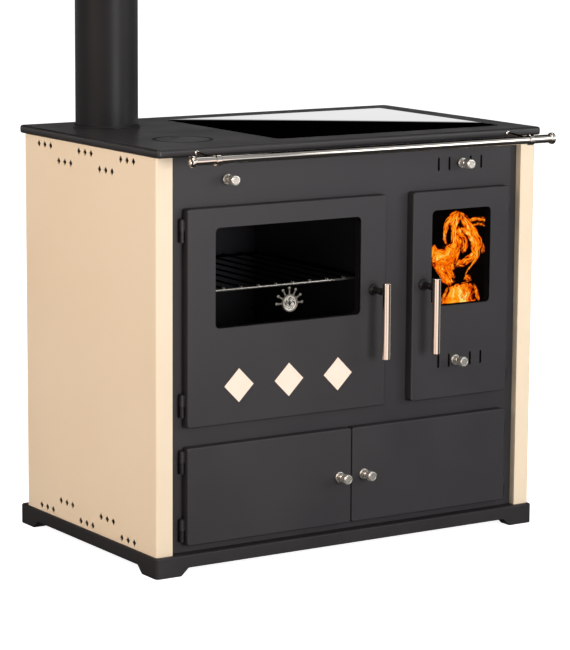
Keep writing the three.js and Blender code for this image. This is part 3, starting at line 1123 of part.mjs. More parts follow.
function fireboxDoor() {
  const group = new THREE.Group();
  const area = fireboxDoorArea;
  const spindleX = area.left + FIREBOX_HANDLE_INSET;
  const spindleZ = area.midZ + HANDLE_ABOVE_CENTRE;
  const hinge = { x: area.right + HINGE_OFFSET, toDoor: -1 };
  const slots = airSlotShapes(area.midX, primaryAirZ);
  const stemX = area.midX + PRIMARY_AIR.knobOffset;
  const skinCuts = [...slots, stemSlotShape(stemX, primaryAirZ, AIR_SLIDE.travel)]
    .map((shape) => upright(shape, doorFace - 1, DOOR_SHEET + 2));
  const linerCuts = slots.map((shape) => upright(shape, doorBack - LINER_SHEET - 1, LINER_SHEET + 2));
  glazedDoor(group, "firebox", area, FIRE_WINDOW_SIDE, spindleX, spindleZ, hinge,
    { tray: [pattern(skinCuts)], liner: [pattern(linerCuts)], glass: [] });
  doorHandle(group, "firebox", spindleX, spindleZ, fireboxAperture.left);
  addPiece(group, "primary_air_slide",
    airSlideGeometry(area.midX, primaryAirZ, doorFace, doorFace + DOOR_SHEET + SEAT_GAP, stemX), FINISH.blackSteel());
  addPiece(group, "primary_air_knob", knobGeometry(stemX, doorFace, primaryAirZ), FINISH.nickel());
  for (const [place, midZ] of Object.entries(hingeHeights(area, UPPER_HINGE_INSET))) {
    addPiece(group, `firebox_hinge_${place}`, fixedHingeGeometry(hinge.x, midZ), FINISH.blackSteel());
  }
  return group;
}

/** The two doors of the storage bay, one the mirror image of the other. */
function lowerDoors() {
  const group = new THREE.Group();
  const area = lowerDoorArea;
  const axisX = area.right + HINGE_OFFSET;
  const heights = hingeHeights(area, LOWER_HINGE_INSET);
  const door = withKnuckles(doorTray(area), axisX, -1, heights);
  const knob = knobGeometry(area.left + LOWER_KNOB_INSET, doorFace, area.midZ);
  for (const side of ["right", "left"]) {
    const mirrored = side === "left";
    addPiece(group, `lower_${side}_door`, door.clone(), FINISH.blackPaint(), mirrored);
    addPiece(group, `lower_${side}_knob`, knob.clone(), FINISH.nickel(), mirrored);
    for (const [place, midZ] of Object.entries(heights)) {
      addPiece(group, `lower_${side}_hinge_${place}`, fixedHingeGeometry(axisX, midZ), FINISH.blackSteel(), mirrored);
    }
  }
  return group;
}

// ---------------------------------------------------------------- the whole stove

const stove = new THREE.Group();
for (const build of [plinthAndFloor, panels, frontPlate, storageLiner, oven, firebox, smokeChamber, hob,
  towelRail, secondaryAir, damper, ovenDoor, fireboxDoor, lowerDoors]) {
  stove.add(build());
}

// The rail's caps reach furthest forward and the plinth furthest back.
const foremost = railY - RAIL_CAP.radius;
const rearmost = BODY_DEPTH + PLINTH_OVERHANG.back;
stove.position.y = -(foremost + rearmost) / 2;

export default stove;
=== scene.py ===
"""Looks of a wood-burning cookstove: finishes, turned metal, glass, fire, studio and camera.

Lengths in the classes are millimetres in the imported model's frame: +Z up, the stove's front
towards -Y, the origin on the floor under the middle of the stove. Meshes are in metres.
"""

import json
import logging
import math
import random
from collections.abc import Callable
from dataclasses import dataclass, field
from enum import Enum

import bmesh
import bpy
from mathutils import Matrix, Vector

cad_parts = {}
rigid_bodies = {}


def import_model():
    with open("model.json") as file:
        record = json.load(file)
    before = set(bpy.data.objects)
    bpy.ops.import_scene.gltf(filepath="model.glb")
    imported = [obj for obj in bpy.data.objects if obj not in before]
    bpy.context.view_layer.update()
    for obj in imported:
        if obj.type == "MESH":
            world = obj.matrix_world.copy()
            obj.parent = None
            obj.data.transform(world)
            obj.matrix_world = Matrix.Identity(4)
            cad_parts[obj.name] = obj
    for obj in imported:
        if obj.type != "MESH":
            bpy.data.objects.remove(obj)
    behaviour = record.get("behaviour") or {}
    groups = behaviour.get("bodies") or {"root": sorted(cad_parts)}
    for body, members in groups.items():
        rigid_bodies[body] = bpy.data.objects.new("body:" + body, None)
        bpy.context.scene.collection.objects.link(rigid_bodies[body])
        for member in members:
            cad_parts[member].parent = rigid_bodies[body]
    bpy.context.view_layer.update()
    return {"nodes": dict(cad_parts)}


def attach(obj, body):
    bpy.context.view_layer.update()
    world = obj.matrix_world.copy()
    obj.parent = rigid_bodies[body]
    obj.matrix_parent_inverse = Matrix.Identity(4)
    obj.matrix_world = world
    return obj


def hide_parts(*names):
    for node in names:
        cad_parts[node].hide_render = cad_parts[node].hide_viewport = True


for leftover in list(bpy.data.objects):
    bpy.data.objects.remove(leftover)
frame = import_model()

logging.basicConfig(level=logging.INFO, format="%(message)s")
log = logging.getLogger("cookstove")

MM = 0.001
FLAME_PLACE = "flame_place"
Pair = tuple[float, float]
Point = tuple[float, float, float]
Profile = list[Pair]
Colour = tuple[float, float, float, float]
BMesh = bmesh.types.BMesh
Mesh = bpy.types.Mesh
Object = bpy.types.Object
Outputs = bpy.types.bpy_prop_collection
Socket = bpy.types.NodeSocket
Tree = bpy.types.NodeTree


def linear(hex_colour: str) -> Colour:
    """Turn an sRGB colour into the linear values that shaders use.

    Args:
        hex_colour: Six hex digits, red first.

    Returns:
        Linear red, green and blue, and an alpha of 1.
    """
    channels = [int(hex_colour[at:at + 2], 16) / 255 for at in (0, 2, 4)]
    straight = [c / 12.92 if c <= 0.04045 else ((c + 0.055) / 1.055) ** 2.4 for c in channels]
    return (*straight, 1.0)


WHITE = linear("ffffff")


# ------ nodes


def add_node(tree: Tree, kind: str, inputs: dict | None = None,
             stops: list[tuple[float, Colour]] | None = None, **settings: object) -> bpy.types.Node:
    """Add a node with its settings, its values and its links.

    Args:
        tree: The node tree that gets the node.
        kind: The node's type name.
        inputs: Input names or numbers, each with a value or with a socket to link from.
        stops: Positions and colours of a colour ramp.
        settings: Properties of the node itself.

    Returns:
        The new node.
    """
    node = tree.nodes.new(kind)
    for name, value in settings.items():
        setattr(node, name, value)
    for key, value in (inputs or {}).items():
        if isinstance(value, Socket):
            tree.links.new(value, node.inputs[key])
        else:
            node.inputs[key].default_value = value
    if stops:
        ramp = node.color_ramp
        while len(ramp.elements) < len(stops):
            ramp.elements.new(1.0)
        for element, (position, colour) in zip(ramp.elements, stops):
            element.position, element.color = position, colour
    return node


def emptied_tree(owner: bpy.types.Material | bpy.types.World) -> Tree:
    """Return a material's or a world's node tree with nothing in it."""
    owner.use_nodes = True
    owner.node_tree.nodes.clear()
    return owner.node_tree


def object_place(tree: Tree) -> Socket:
    """Return where a surface point lies in the model's frame, in metres."""
    return add_node(tree, "ShaderNodeTexCoord").outputs["Object"]


def axes_of(tree: Tree, place: Socket) -> Outputs:
    """Return a place's X, Y and Z."""
    return add_node(tree, "ShaderNodeSeparateXYZ", {0: place}).outputs


def maths(tree: Tree, operation: str, *values: Socket | float) -> Socket:
    """Return the result of one maths operation."""
    return add_node(tree, "ShaderNodeMath", dict(enumerate(values)), operation=operation).outputs[0]


def per_metre(size_mm: float) -> float:
    """Return the texture scale whose features are about the given size across."""
    return 1000.0 / size_mm


def noise(tree: Tree, place: Socket, size_mm: float, detail: float = 2.0) -> Outputs:
    """Return a noise's Fac and Color, with patches of about the given size."""
    return add_node(tree, "ShaderNodeTexNoise",
                    {"Vector": place, "Scale": per_metre(size_mm), "Detail": detail}).outputs


def mapped(tree: Tree, value: Socket, low: float, high: float, at_low: float = 0.0,
           at_high: Socket | float = 1.0) -> Socket:
    """Return a value carried from one range to another and held at both ends."""
    return add_node(tree, "ShaderNodeMapRange", {"Value": value, "From Min": low, "From Max": high,
                                                 "To Min": at_low, "To Max": at_high}).outputs["Result"]


def toned(tree: Tree, value: Socket, *stops: tuple[float, str]) -> Socket:
    """Return the colour that a value has between stops of sRGB hex colours."""
    return add_node(tree, "ShaderNodeValToRGB", {"Fac": value},
                    stops=[(position, linear(colour)) for position, colour in stops]).outputs["Color"]


def relief(tree: Tree, height: Socket, depth_mm: float, strength: float = 1.0) -> Socket:
    """Return the normals of a relief of the given depth."""
    return add_node(tree, "ShaderNodeBump", {"Height": height, "Strength": strength,
                                             "Distance": depth_mm * MM}).outputs["Normal"]


def principled(tree: Tree, colour: Socket | Colour, roughness: Socket | float, more: dict) -> Socket:
    """Return a principled shader."""
    return add_node(tree, "ShaderNodeBsdfPrincipled",
                    {"Base Color": colour, "Roughness": roughness, **more}).outputs[0]


def emission(tree: Tree, colour: Socket | Colour, strength: Socket | float) -> Socket:
    """Return a shader that glows."""
    return add_node(tree, "ShaderNodeEmission", {"Color": colour, "Strength": strength}).outputs[0]


def clear(tree: Tree, colour: Colour) -> Socket:
    """Return a see-through shader."""
    return add_node(tree, "ShaderNodeBsdfTransparent", {"Color": colour}).outputs[0]


def blended(tree: Tree, share: Socket | float, first: Socket, second: Socket) -> Socket:
    """Return the first shader with the given share of the second."""
    return add_node(tree, "ShaderNodeMixShader", {"Fac": share, 1: first, 2: second}).outputs[0]


def sight(tree: Tree) -> tuple[Outputs, Socket]:
    """Return the kinds of ray, and whether the camera sees the surface, also through glass."""
    rays = add_node(tree, "ShaderNodeLightPath").outputs
    return rays, maths(tree, "MAXIMUM", rays["Is Camera Ray"], rays["Is Transmission Ray"])


# ------ finishes


@dataclass(frozen=True)
class Finish:
    """A surface that makes its own material on first use."""

    name: str

    def surface(self, tree: Tree) -> Socket:
        """Build the shader and return its output socket."""
        raise NotImplementedError

    def material(self) -> bpy.types.Material:
        """Return the finish's material."""
        known = bpy.data.materials.get(self.name)
        if known:
            return known
        made = bpy.data.materials.new(self.name)
        tree = emptied_tree(made)
        add_node(tree, "ShaderNodeOutputMaterial", {"Surface": self.surface(tree)})
        return made


@dataclass(frozen=True)
class GrainedFinish(Finish):
    """A solid surface with two close tones, a roughness that wanders and a fine relief.

    Args:
        base: Main colour, sRGB hex.
        mottle: Second colour that the first drifts towards.
        mottle_mm: Size of the drifting patches.
        roughness: Lowest and highest roughness.
        grain_mm: Size of the relief's bumps.
        grain_depth_mm: Height of the relief.
        stretch: Relief drawn out along each axis; 1 is even.
    """

    base: str
    mottle: str
    mottle_mm: float
    roughness: Pair
    grain_mm: float
    grain_depth_mm: float
    metallic: float = 0.0
    ior: float = 1.5
    specular: float = 0.5
    coat: float = 0.0
    coat_roughness: float = 0.05
    stretch: Point = (1.0, 1.0, 1.0)

    def surface(self, tree: Tree) -> Socket:
        """Build the patterned shader and return its output socket."""
        place = object_place(tree)
        patches = noise(tree, place, self.mottle_mm, 3.0)["Fac"]
        tone = toned(tree, patches, (0.32, self.base), (0.72, self.mottle))
        rough = mapped(tree, patches, 0.3, 0.7, *self.roughness)
        drawn = add_node(tree, "ShaderNodeMapping", {"Vector": place, "Scale": self.stretch}).outputs[0]
        grain = noise(tree, drawn, self.grain_mm)["Fac"]
        return principled(tree, tone, rough, {
            "Normal": relief(tree, grain, self.grain_depth_mm), "Metallic": self.metallic, "IOR": self.ior,
            "Specular IOR Level": self.specular, "Coat Weight": self.coat,
            "Coat Roughness": self.coat_roughness})


@dataclass(frozen=True)
class SpeckledEnamel(Finish):
    """Black vitreous enamel fired inside an oven, with pin-head pale specks; its black is made deeper than real
    enamel, as painted shade for the oven's dark inside.
    """

    # The base is near-perfect black, darker than real enamel: painted shade for the inside of the oven.
    base: str = "020202"
    speck: str = "131416"
    speck_pitch_mm: float = 9.0  # real specks sit 3 to 4 mm apart, drawn wider so that they show

    def surface(self, tree: Tree) -> Socket:
        """Build the speckled shader and return its output socket."""
        cells = add_node(tree, "ShaderNodeTexVoronoi",
                         {"Vector": object_place(tree), "Scale": per_metre(self.speck_pitch_mm)})
        tone = toned(tree, cells.outputs["Distance"], (0.0, self.speck), (0.13, self.base))
        return principled(tree, tone, 0.55, {"Specular IOR Level": 0.02})


@dataclass(frozen=True)
class BraidedRope(Finish):
    """Glass-fibre door rope: dull strands that cross each other on the slant."""

    base: str = "4c4a46"
    shade: str = "232220"
    strand_mm: float = 3.5
    strand_depth_mm: float = 0.4

    def surface(self, tree: Tree) -> Socket:
        """Build the braided shader and return its output socket."""
        slanted = add_node(tree, "ShaderNodeMapping",
                           {"Vector": object_place(tree), "Rotation": (0.0, math.radians(45), 0.0)})
        weave = add_node(tree, "ShaderNodeTexChecker",
                         {"Vector": slanted.outputs[0], "Scale": per_metre(self.strand_mm),
                          "Color1": linear(self.base), "Color2": linear(self.shade)}).outputs
        return principled(tree, weave["Color"], 0.95,
                          {"Normal": relief(tree, weave["Fac"], self.strand_depth_mm, 0.6)})


@dataclass(frozen=True)
class SmokedGlass(Finish):
    """Heat-proof door glass: a faint grey, with hardly any mirror on its face."""

    tint: str = "f2f1f0"
    mirror: float = 0.0005
    haze_mm: float = 60.0

    def surface(self, tree: Tree) -> Socket:
        """Build the see-through shader and return its output socket."""
        haze = noise(tree, object_place(tree), self.haze_mm, 3.0)["Fac"]
        shine = add_node(tree, "ShaderNodeBsdfGlossy",
                         {"Color": WHITE, "Roughness": mapped(tree, haze, 0.0, 1.0, 0.02, 0.09)})
        return blended(tree, self.mirror, clear(tree, linear(self.tint)), shine.outputs[0])


@dataclass(frozen=True)
class WireWithPaintedShade(Finish):
    """Plated shelf wire: bright along the oven's mouth, painted black behind it as painted shade, where the oven's
    inside gets little light.
    """

    bright: str = "f0eeea"
    painted_shade: str = "010101"
    bright_until_mm: float = -183.0
    change_mm: float = 4.0

    def surface(self, tree: Tree) -> Socket:
        """Build the two-toned shader and return its output socket."""
        # 0 at the wire's front, 1 behind it: the share of painted shade that darkens the rear bars.
        depth = mapped(tree, axes_of(tree, object_place(tree))["Y"], self.bright_until_mm * MM,
                       (self.bright_until_mm + self.change_mm) * MM)
        tone = toned(tree, depth, (0.0, self.bright), (1.0, self.painted_shade))
        return principled(tree, tone, mapped(tree, depth, 0.0, 1.0, 0.24, 0.6),
                          {"Metallic": mapped(tree, depth, 0.0, 1.0, 0.9, 0.0), "Specular IOR Level": 0.02})


@dataclass(frozen=True)
class EmbossedDial(Finish):
    """Pressed sheet-metal dial: bright ridges that twist round the middle, the hollows between painted dark as painted
    shade of the relief.
    """

    centre: Point
    radius_mm: float
    ridge: str = "e6e2d8"
    hollow_painted_shade: str = "1f1d1a"
    ridge_mm: float = 7.0
    ridge_depth_mm: float = 0.6
    petals: float = 8.0
    twist: float = 2.6
    petal_height: float = 0.16
    plain_rim: Pair = (0.86, 0.94)

    def surface(self, tree: Tree) -> Socket:
        """Build the dial's shader and return its output socket."""
        place = object_place(tree)
        middle = add_node(tree, "ShaderNodeVectorMath", {0: place, 1: tuple(c * MM for c in self.centre)},
                          operation="SUBTRACT").outputs[0]
        axes = axes_of(tree, middle)
        reach = add_node(tree, "ShaderNodeVectorMath", {0: middle}, operation="LENGTH").outputs["Value"]
        share = maths(tree, "MULTIPLY", reach, 1 / (self.radius_mm * MM))
        turn = maths(tree, "MULTIPLY_ADD", share, self.twist, maths(tree, "ARCTAN2", axes["Z"], axes["X"]))
        wave = maths(tree, "COSINE", maths(tree, "MULTIPLY", turn, self.petals))
        lumps = noise(tree, place, self.ridge_mm, 3.0)["Fac"]
        ridges = maths(tree, "MULTIPLY_ADD", wave, self.petal_height, lumps)
        height = maths(tree, "MAXIMUM", ridges, mapped(tree, share, *self.plain_rim))
        # Tone follows the relief's height: the dark in the hollows is painted shade.
        tone = toned(tree, height, (0.42, self.hollow_painted_shade), (0.58, self.ridge))
        return principled(tree, tone, 0.36,
                          {"Metallic": 0.55, "Normal": relief(tree, height, self.ridge_depth_mm)})


@dataclass(frozen=True)
class FlameGas(Finish):
    """Burning gas: orange and yellow threads along a tongue of flame, clear where it thins out.

    Each tongue's mesh says where a point lies in it: across from rim to rim, along, and how hot.
    """

    drift_mm: float = 22.0
    thread_bend: float = 1.5
    thread_length: float = 0.22
    thread_scale: float = 3.0  # threads across a tongue, whatever its size
    thread_heat: float = 4.4
    rim_loss: float = -0.9
    heat: Pair = (1.75, 3.45)
    strength: float = 1.25

    def surface(self, tree: Tree) -> Socket:
        """Build the glowing shader and return its output socket."""
        within = axes_of(tree, add_node(tree, "ShaderNodeAttribute", attribute_name=FLAME_PLACE).outputs["Vector"])
        drift = noise(tree, object_place(tree), self.drift_mm)["Fac"]
        strand = add_node(tree, "ShaderNodeCombineXYZ", {
            "X": maths(tree, "MULTIPLY_ADD", drift, self.thread_bend, within["X"]),
            "Y": maths(tree, "MULTIPLY", within["Y"], self.thread_length), "Z": within["Z"]})
        threads = add_node(tree, "ShaderNodeTexNoise",
                           {"Vector": strand.outputs[0], "Scale": self.thread_scale, "Detail": 3.0,
                            "Roughness": 0.55}).outputs["Fac"]
        core = maths(tree, "MULTIPLY_ADD", maths(tree, "POWER", within["X"], 2.0), self.rim_loss, within["Z"])
        level = mapped(tree, maths(tree, "MULTIPLY_ADD", threads, self.thread_heat, core), *self.heat)
        glow = toned(tree, level, (0.10, "6a1200"), (0.25, "d83e02"), (0.42, "fa6a05"), (0.62, "ff900c"),
                     (0.82, "ffb028"), (0.97, "ffdc78"))
        return blended(tree, mapped(tree, level, 0.10, 0.34), clear(tree, WHITE),
                       emission(tree, glow, self.strength))


@dataclass(frozen=True)
class BurningWood(Finish):
    """Split hardwood in the fire: charred black with cracks that glow orange."""

    char: str = "120c09"
    glow: str = "ff5a10"
    crack_mm: float = 17.0
    crack_depth_mm: float = 3.0

    def surface(self, tree: Tree) -> Socket:
        """Build the charred shader and return its output socket."""
        place = object_place(tree)
        wander = noise(tree, place, self.crack_mm, 3.0)
        bent = add_node(tree, "ShaderNodeMix", {0: 0.02, 4: place, 5: wander["Color"]}, data_type="VECTOR")
        cells = add_node(tree, "ShaderNodeTexVoronoi",
                         {"Vector": bent.outputs[1], "Scale": per_metre(self.crack_mm)},
                         feature="DISTANCE_TO_EDGE").outputs["Distance"]
        heat = toned(tree, maths(tree, "MULTIPLY_ADD", wander["Fac"], 0.5, cells),
                     (0.21, self.glow), (0.25, "5a0c00"), (0.28, "000000"))
        return principled(tree, linear(self.char), 0.9,
                          {"Normal": relief(tree, cells, self.crack_depth_mm, 0.8), "Emission Color": heat,
                           "Emission Strength": 1.6})


# Stove paint: silicone paint with metal pigment, sprayed on sheet steel and stoved. It gives a
# charcoal satin with a very fine tooth, so highlights spread wide and soft.
STOVE_PAINT = GrainedFinish("stove_paint", "2b292c", "2e2c2f", 140, (0.47, 0.55), 2.2, 0.03, specular=0.42)
# The same paint on the plinth, made blacker: painted shade for the plinth's low place, where less light falls.
PLINTH_PAINTED_SHADE = GrainedFinish("stove_paint_plinth_painted_shade", "232123", "272527", 120, (0.46, 0.54), 2.2, 0.03,
                             specular=0.42)
# Hob frame: cast and ground iron under thin black paint; tighter highlights than the front.
HOB_PAINT = GrainedFinish("hob_iron_paint", "252325", "2b292b", 90, (0.36, 0.46), 2.6, 0.04)
# Vitreous enamel: ground glass fused on steel. It gives a deep even cream under a wet gloss.
ENAMEL = GrainedFinish("vitreous_enamel", "efdabd", "f1ddc2", 260, (0.30, 0.36), 14, 0.02, coat=0.35,
                       coat_roughness=0.08)
# The same enamel on the small inlays, made paler: painted light for their front faces, which the front lamp lights
# more than the sides.
INLAY_ENAMEL_PAINTED_LIGHT = GrainedFinish("vitreous_enamel_inlay_painted_light", "fde6d2", "ffe9d7", 40, (0.30, 0.36), 14, 0.02,
                             coat=0.35, coat_roughness=0.08)
# Chrome plate on polished steel tube: a near mirror, a little uneven from polishing.
CHROME = GrainedFinish("chrome_plate", "efe8e0", "e6dfd6", 60, (0.03, 0.06), 9, 0.004, metallic=1.0,
                       stretch=(0.1, 1.0, 1.0))
# The thermometer's pressed case and rays: plate gone grey over the oven's vents.
AGED_NICKEL = GrainedFinish("aged_nickel_plate", "a19d95", "7d7a74", 5, (0.26, 0.38), 1.8, 0.05, metallic=0.9)
# Turned steel with a nickel plate: warm grey, softer highlights, fine lathe lines round it.
NICKEL = GrainedFinish("nickel_plate", "eae6de", "dcd7cd", 12, (0.18, 0.28), 1.4, 0.01, metallic=0.75)
# Blackened mild steel: hinges, spindles, liners and slides, dark with a dry sheen.
BLACKENED = GrainedFinish("blackened_steel", "0d0c0e", "131214", 30, (0.42, 0.55), 2.0, 0.03)
# Zinc-coated sheet: pale blue-grey flakes of spangle over hidden sheets.
ZINC_SHEET = GrainedFinish("zinc_coated_sheet", "6f7275", "85888a", 22, (0.38, 0.52), 10, 0.02, metallic=0.85)
# Raw cast iron: sandy skin from the mould.
RAW_IRON = GrainedFinish("raw_cast_iron", "1f1f21", "2a2827", 18, (0.65, 0.8), 2.4, 0.25, metallic=0.3)
# Stovepipe: rolled 2 mm sheet under matt heat-proof paint.
PIPE_PAINT = GrainedFinish("stovepipe_paint", "1a191b", "1e1d1f", 160, (0.40, 0.46), 2.4, 0.03, specular=0.2)
# The ring round the lid is painted a flatter black than the frame: painted shade that stands in for the dark seam
# round the lid.
RING_PAINTED_SEAM_SHADE = GrainedFinish("lid_ring_painted_seam_shade", "0e0d0e", "131213", 40, (0.55, 0.65), 2.6, 0.05, specular=0.2)
# Glass ceramic: black through and through, polished flat, close to a mirror at a low angle.
HOB_CERAMIC = GrainedFinish("black_glass_ceramic", "020203", "040405", 300, (0.0, 0.004), 200, 0.0, ior=1.55)
# Fireclay brick: pressed and sandy, black with soot but for paler brown patches.
FIRECLAY = GrainedFinish("fireclay_brick", "15120f", "2b241d", 45, (0.88, 0.98), 3.0, 0.5)
# The needle's paint: a thin flat black.
NEEDLE_PAINT = GrainedFinish("needle_paint", "151516", "1b1b1c", 10, (0.4, 0.5), 2, 0.01)
# Oven lining: black enamel, part real colour and part painted shade that keeps the inside dark, with specks only just
# seen.
OVEN_ENAMEL = SpeckledEnamel("oven_enamel")
# Seal rope: knitted glass fibre, a dull grey with the weave's small shadows.
DOOR_ROPE = BraidedRope("door_rope")
# Door panes: clear glass ceramic, a faint veil over what is behind it.
DOOR_GLASS = SmokedGlass("heat_proof_glass")
# Shelf wire: a bright line at the oven's mouth, painted black behind it as painted shade.
WIRE = WireWithPaintedShade("plated_shelf_wire_painted_shade")


class RecordSlot(Enum):
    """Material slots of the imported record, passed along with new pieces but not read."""

    BLACK_STEEL = "black_steel"
    CHROME = "chrome"
    NICKEL = "nickel"
    STOVEPIPE = "stovepipe"


# ------ mesh making


def add_object(name: str, data: bpy.types.ID) -> Object:
    """Put a new object with the given data in the scene and return it."""
    made = bpy.data.objects.new(name, data)
    bpy.context.scene.collection.objects.link(made)
    return made


def new_piece(name: str, mesh: Mesh, body: str, finish: Finish, slot: RecordSlot | None = None,
              stands_for: tuple[str, ...] = ()) -> Object:
    """Put a mesh in the scene as a piece of the stove.

    Args:
        name: The piece's name.
        mesh: Its mesh, in metres in the model's frame.
        body: The body it moves with.
        finish: What it is made of.
        slot: The record's slot for it, where it has one; not used.
        stands_for: CAD nodes that it replaces.

    Returns:
        The new object.
    """
    piece = add_object(name, mesh)
    mesh.materials.append(finish.material())
    piece.modifiers.new("level_normals", "WEIGHTED_NORMAL").keep_sharp = True
    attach(piece, body)
    if stands_for:
        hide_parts(*stands_for)
    log.info("piece %s on %s", name, body)
    return piece


def finished_mesh(name: str, shape: BMesh, sharp_degrees: float = 32.0) -> Mesh:
    """Turn a bmesh into a mesh that is smooth but for its sharp edges.

    Args:
        name: The mesh's name.
        shape: The bmesh, which is used up.
        sharp_degrees: Edges with more than this angle stay sharp.

    Returns:
        The new mesh.
    """
    bmesh.ops.remove_doubles(shape, verts=shape.verts, dist=1e-7)
    bmesh.ops.recalc_face_normals(shape, faces=shape.faces)
    mesh = bpy.data.meshes.new(name)
    shape.to_mesh(mesh)
    shape.free()
    mesh.polygons.foreach_set("use_smooth", [True] * len(mesh.polygons))
    mesh.set_sharp_from_angle(angle=math.radians(sharp_degrees))
    return mesh


def stand_in(node: str, ending: str, shape: BMesh, body: str, finish: Finish, slot: RecordSlot) -> None:
    """Put a finer piece in the scene in a CAD node's place.

    Args:
        node: The CAD node that it stands for.
        ending: What follows the node's name in the piece's.
        shape: Its bmesh, which is used up.
        body: The body it moves with.
        finish: What it is made of.
        slot: The record's slot for it.
    """
    name = f"{node}_{ending}"
    new_piece(name, finished_mesh(name, shape), body, finish, slot, (node,))


def rounded(profile: Profile, radius: float, arc_points: int = 3) -> Profile:
    """Round the corners of a turned outline.

    Args:
        profile: Radius and distance along the axis, both ends as they are.
        radius: Rounding in the profile's unit, smaller where a side is short.
        arc_points: Points on each rounding.

    Returns:
        The outline with its corners rounded.
    """
    result = [profile[0]]
    for before, here, after in zip(profile, profile[1:], profile[2:]):
        corner = Vector(here)
        back, ahead = Vector(before) - corner, Vector(after) - corner
        reach = min(radius, back.length * 0.45, ahead.length * 0.45)
        if reach < 1e-6 or here[0] <= 1e-9:
            result.append(here)
            continue
        start, end = corner + back.normalized() * reach, corner + ahead.normalized() * reach
        for step in range(arc_points):
            t = step / (arc_points - 1)
            point = start * (1 - t) ** 2 + corner * 2 * t * (1 - t) + end * t ** 2
            result.append((point.x, point.y))
    return [*result, profile[-1]]


def turned(shape: BMesh, profile: Profile, origin: Point, axis: Point, segments: int = 64) -> None:
    """Add a turned solid to a bmesh.

    Args:
        shape: The bmesh that gets it.
        profile: Radius and distance along the axis, in millimetres, from axis to axis or closed.
        origin: Where the axis starts, in millimetres.
        axis: The axis' direction.
        segments: Facets round it.
    """
    turn = Vector((0, 0, 1)).rotation_difference(Vector(axis)).to_matrix().to_4x4()
    place = Matrix.Translation(Vector(origin) * MM) @ turn
    rings = []
    for radius, along in profile:
        if radius <= 1e-9:
            rings.append([shape.verts.new(place @ Vector((0, 0, along * MM)))])
            continue
        rings.append([shape.verts.new(place @ Vector((radius * MM * math.cos(angle), radius * MM * math.sin(angle),
                                                      along * MM)))
                      for angle in (2 * math.pi * step / segments for step in range(segments))])
    for low, high in zip(rings, rings[1:]):
        if len(low) == 1 and len(high) == 1:
            continue
        for step in range(segments):
            after = (step + 1) % segments
            if len(low) == 1:
                shape.faces.new((low[0], high[step], high[after]))
            elif len(high) == 1:
                shape.faces.new((low[step], low[after], high[0]))
            else:
                shape.faces.new((low[step], low[after], high[after], high[step]))


def bar(shape: BMesh, start: Point, end: Point, radius: float, rounding: float, segments: int = 24) -> None:
    """Add a round bar between two points in millimetres, with its ends rounded."""
    span = Vector(end) - Vector(start)
    turned(shape, rounded([(0, 0), (radius, 0), (radius, span.length), (0, span.length)], rounding),
           start, tuple(span), segments)


def plate(shape: BMesh, outline: list[Pair], front: float, depth: float) -> None:
    """Add an upright plate to a bmesh.

    Args:
        shape: The bmesh that gets it.
        outline: Corners as x and z in millimetres.
        front: The front face's y.
        depth: Thickness backwards.
    """
    face = shape.faces.new([shape.verts.new(Vector((x, front, z)) * MM) for x, z in outline])
    made = bmesh.ops.extrude_face_region(shape, geom=[face])
    moved = [item for item in made["geom"] if isinstance(item, bmesh.types.BMVert)]
    bmesh.ops.translate(shape, verts=moved, vec=Vector((0, depth, 0)) * MM)


def rounded_outline(left: float, bottom: float, right: float, top: float, radius: float,
                    arc_points: int = 8) -> list[Pair]:
    """Return the corners of a rectangle with round corners."""
    corners = [(right - radius, bottom + radius, -90), (right - radius, top - radius, 0),
               (left + radius, top - radius, 90), (left + radius, bottom + radius, 180)]
    return [(x + radius * math.cos(math.radians(start + 90 * step / arc_points)),
             z + radius * math.sin(math.radians(start + 90 * step / arc_points)))
            for x, z, start in corners for step in range(arc_points + 1)]


# ------ the model's own solids


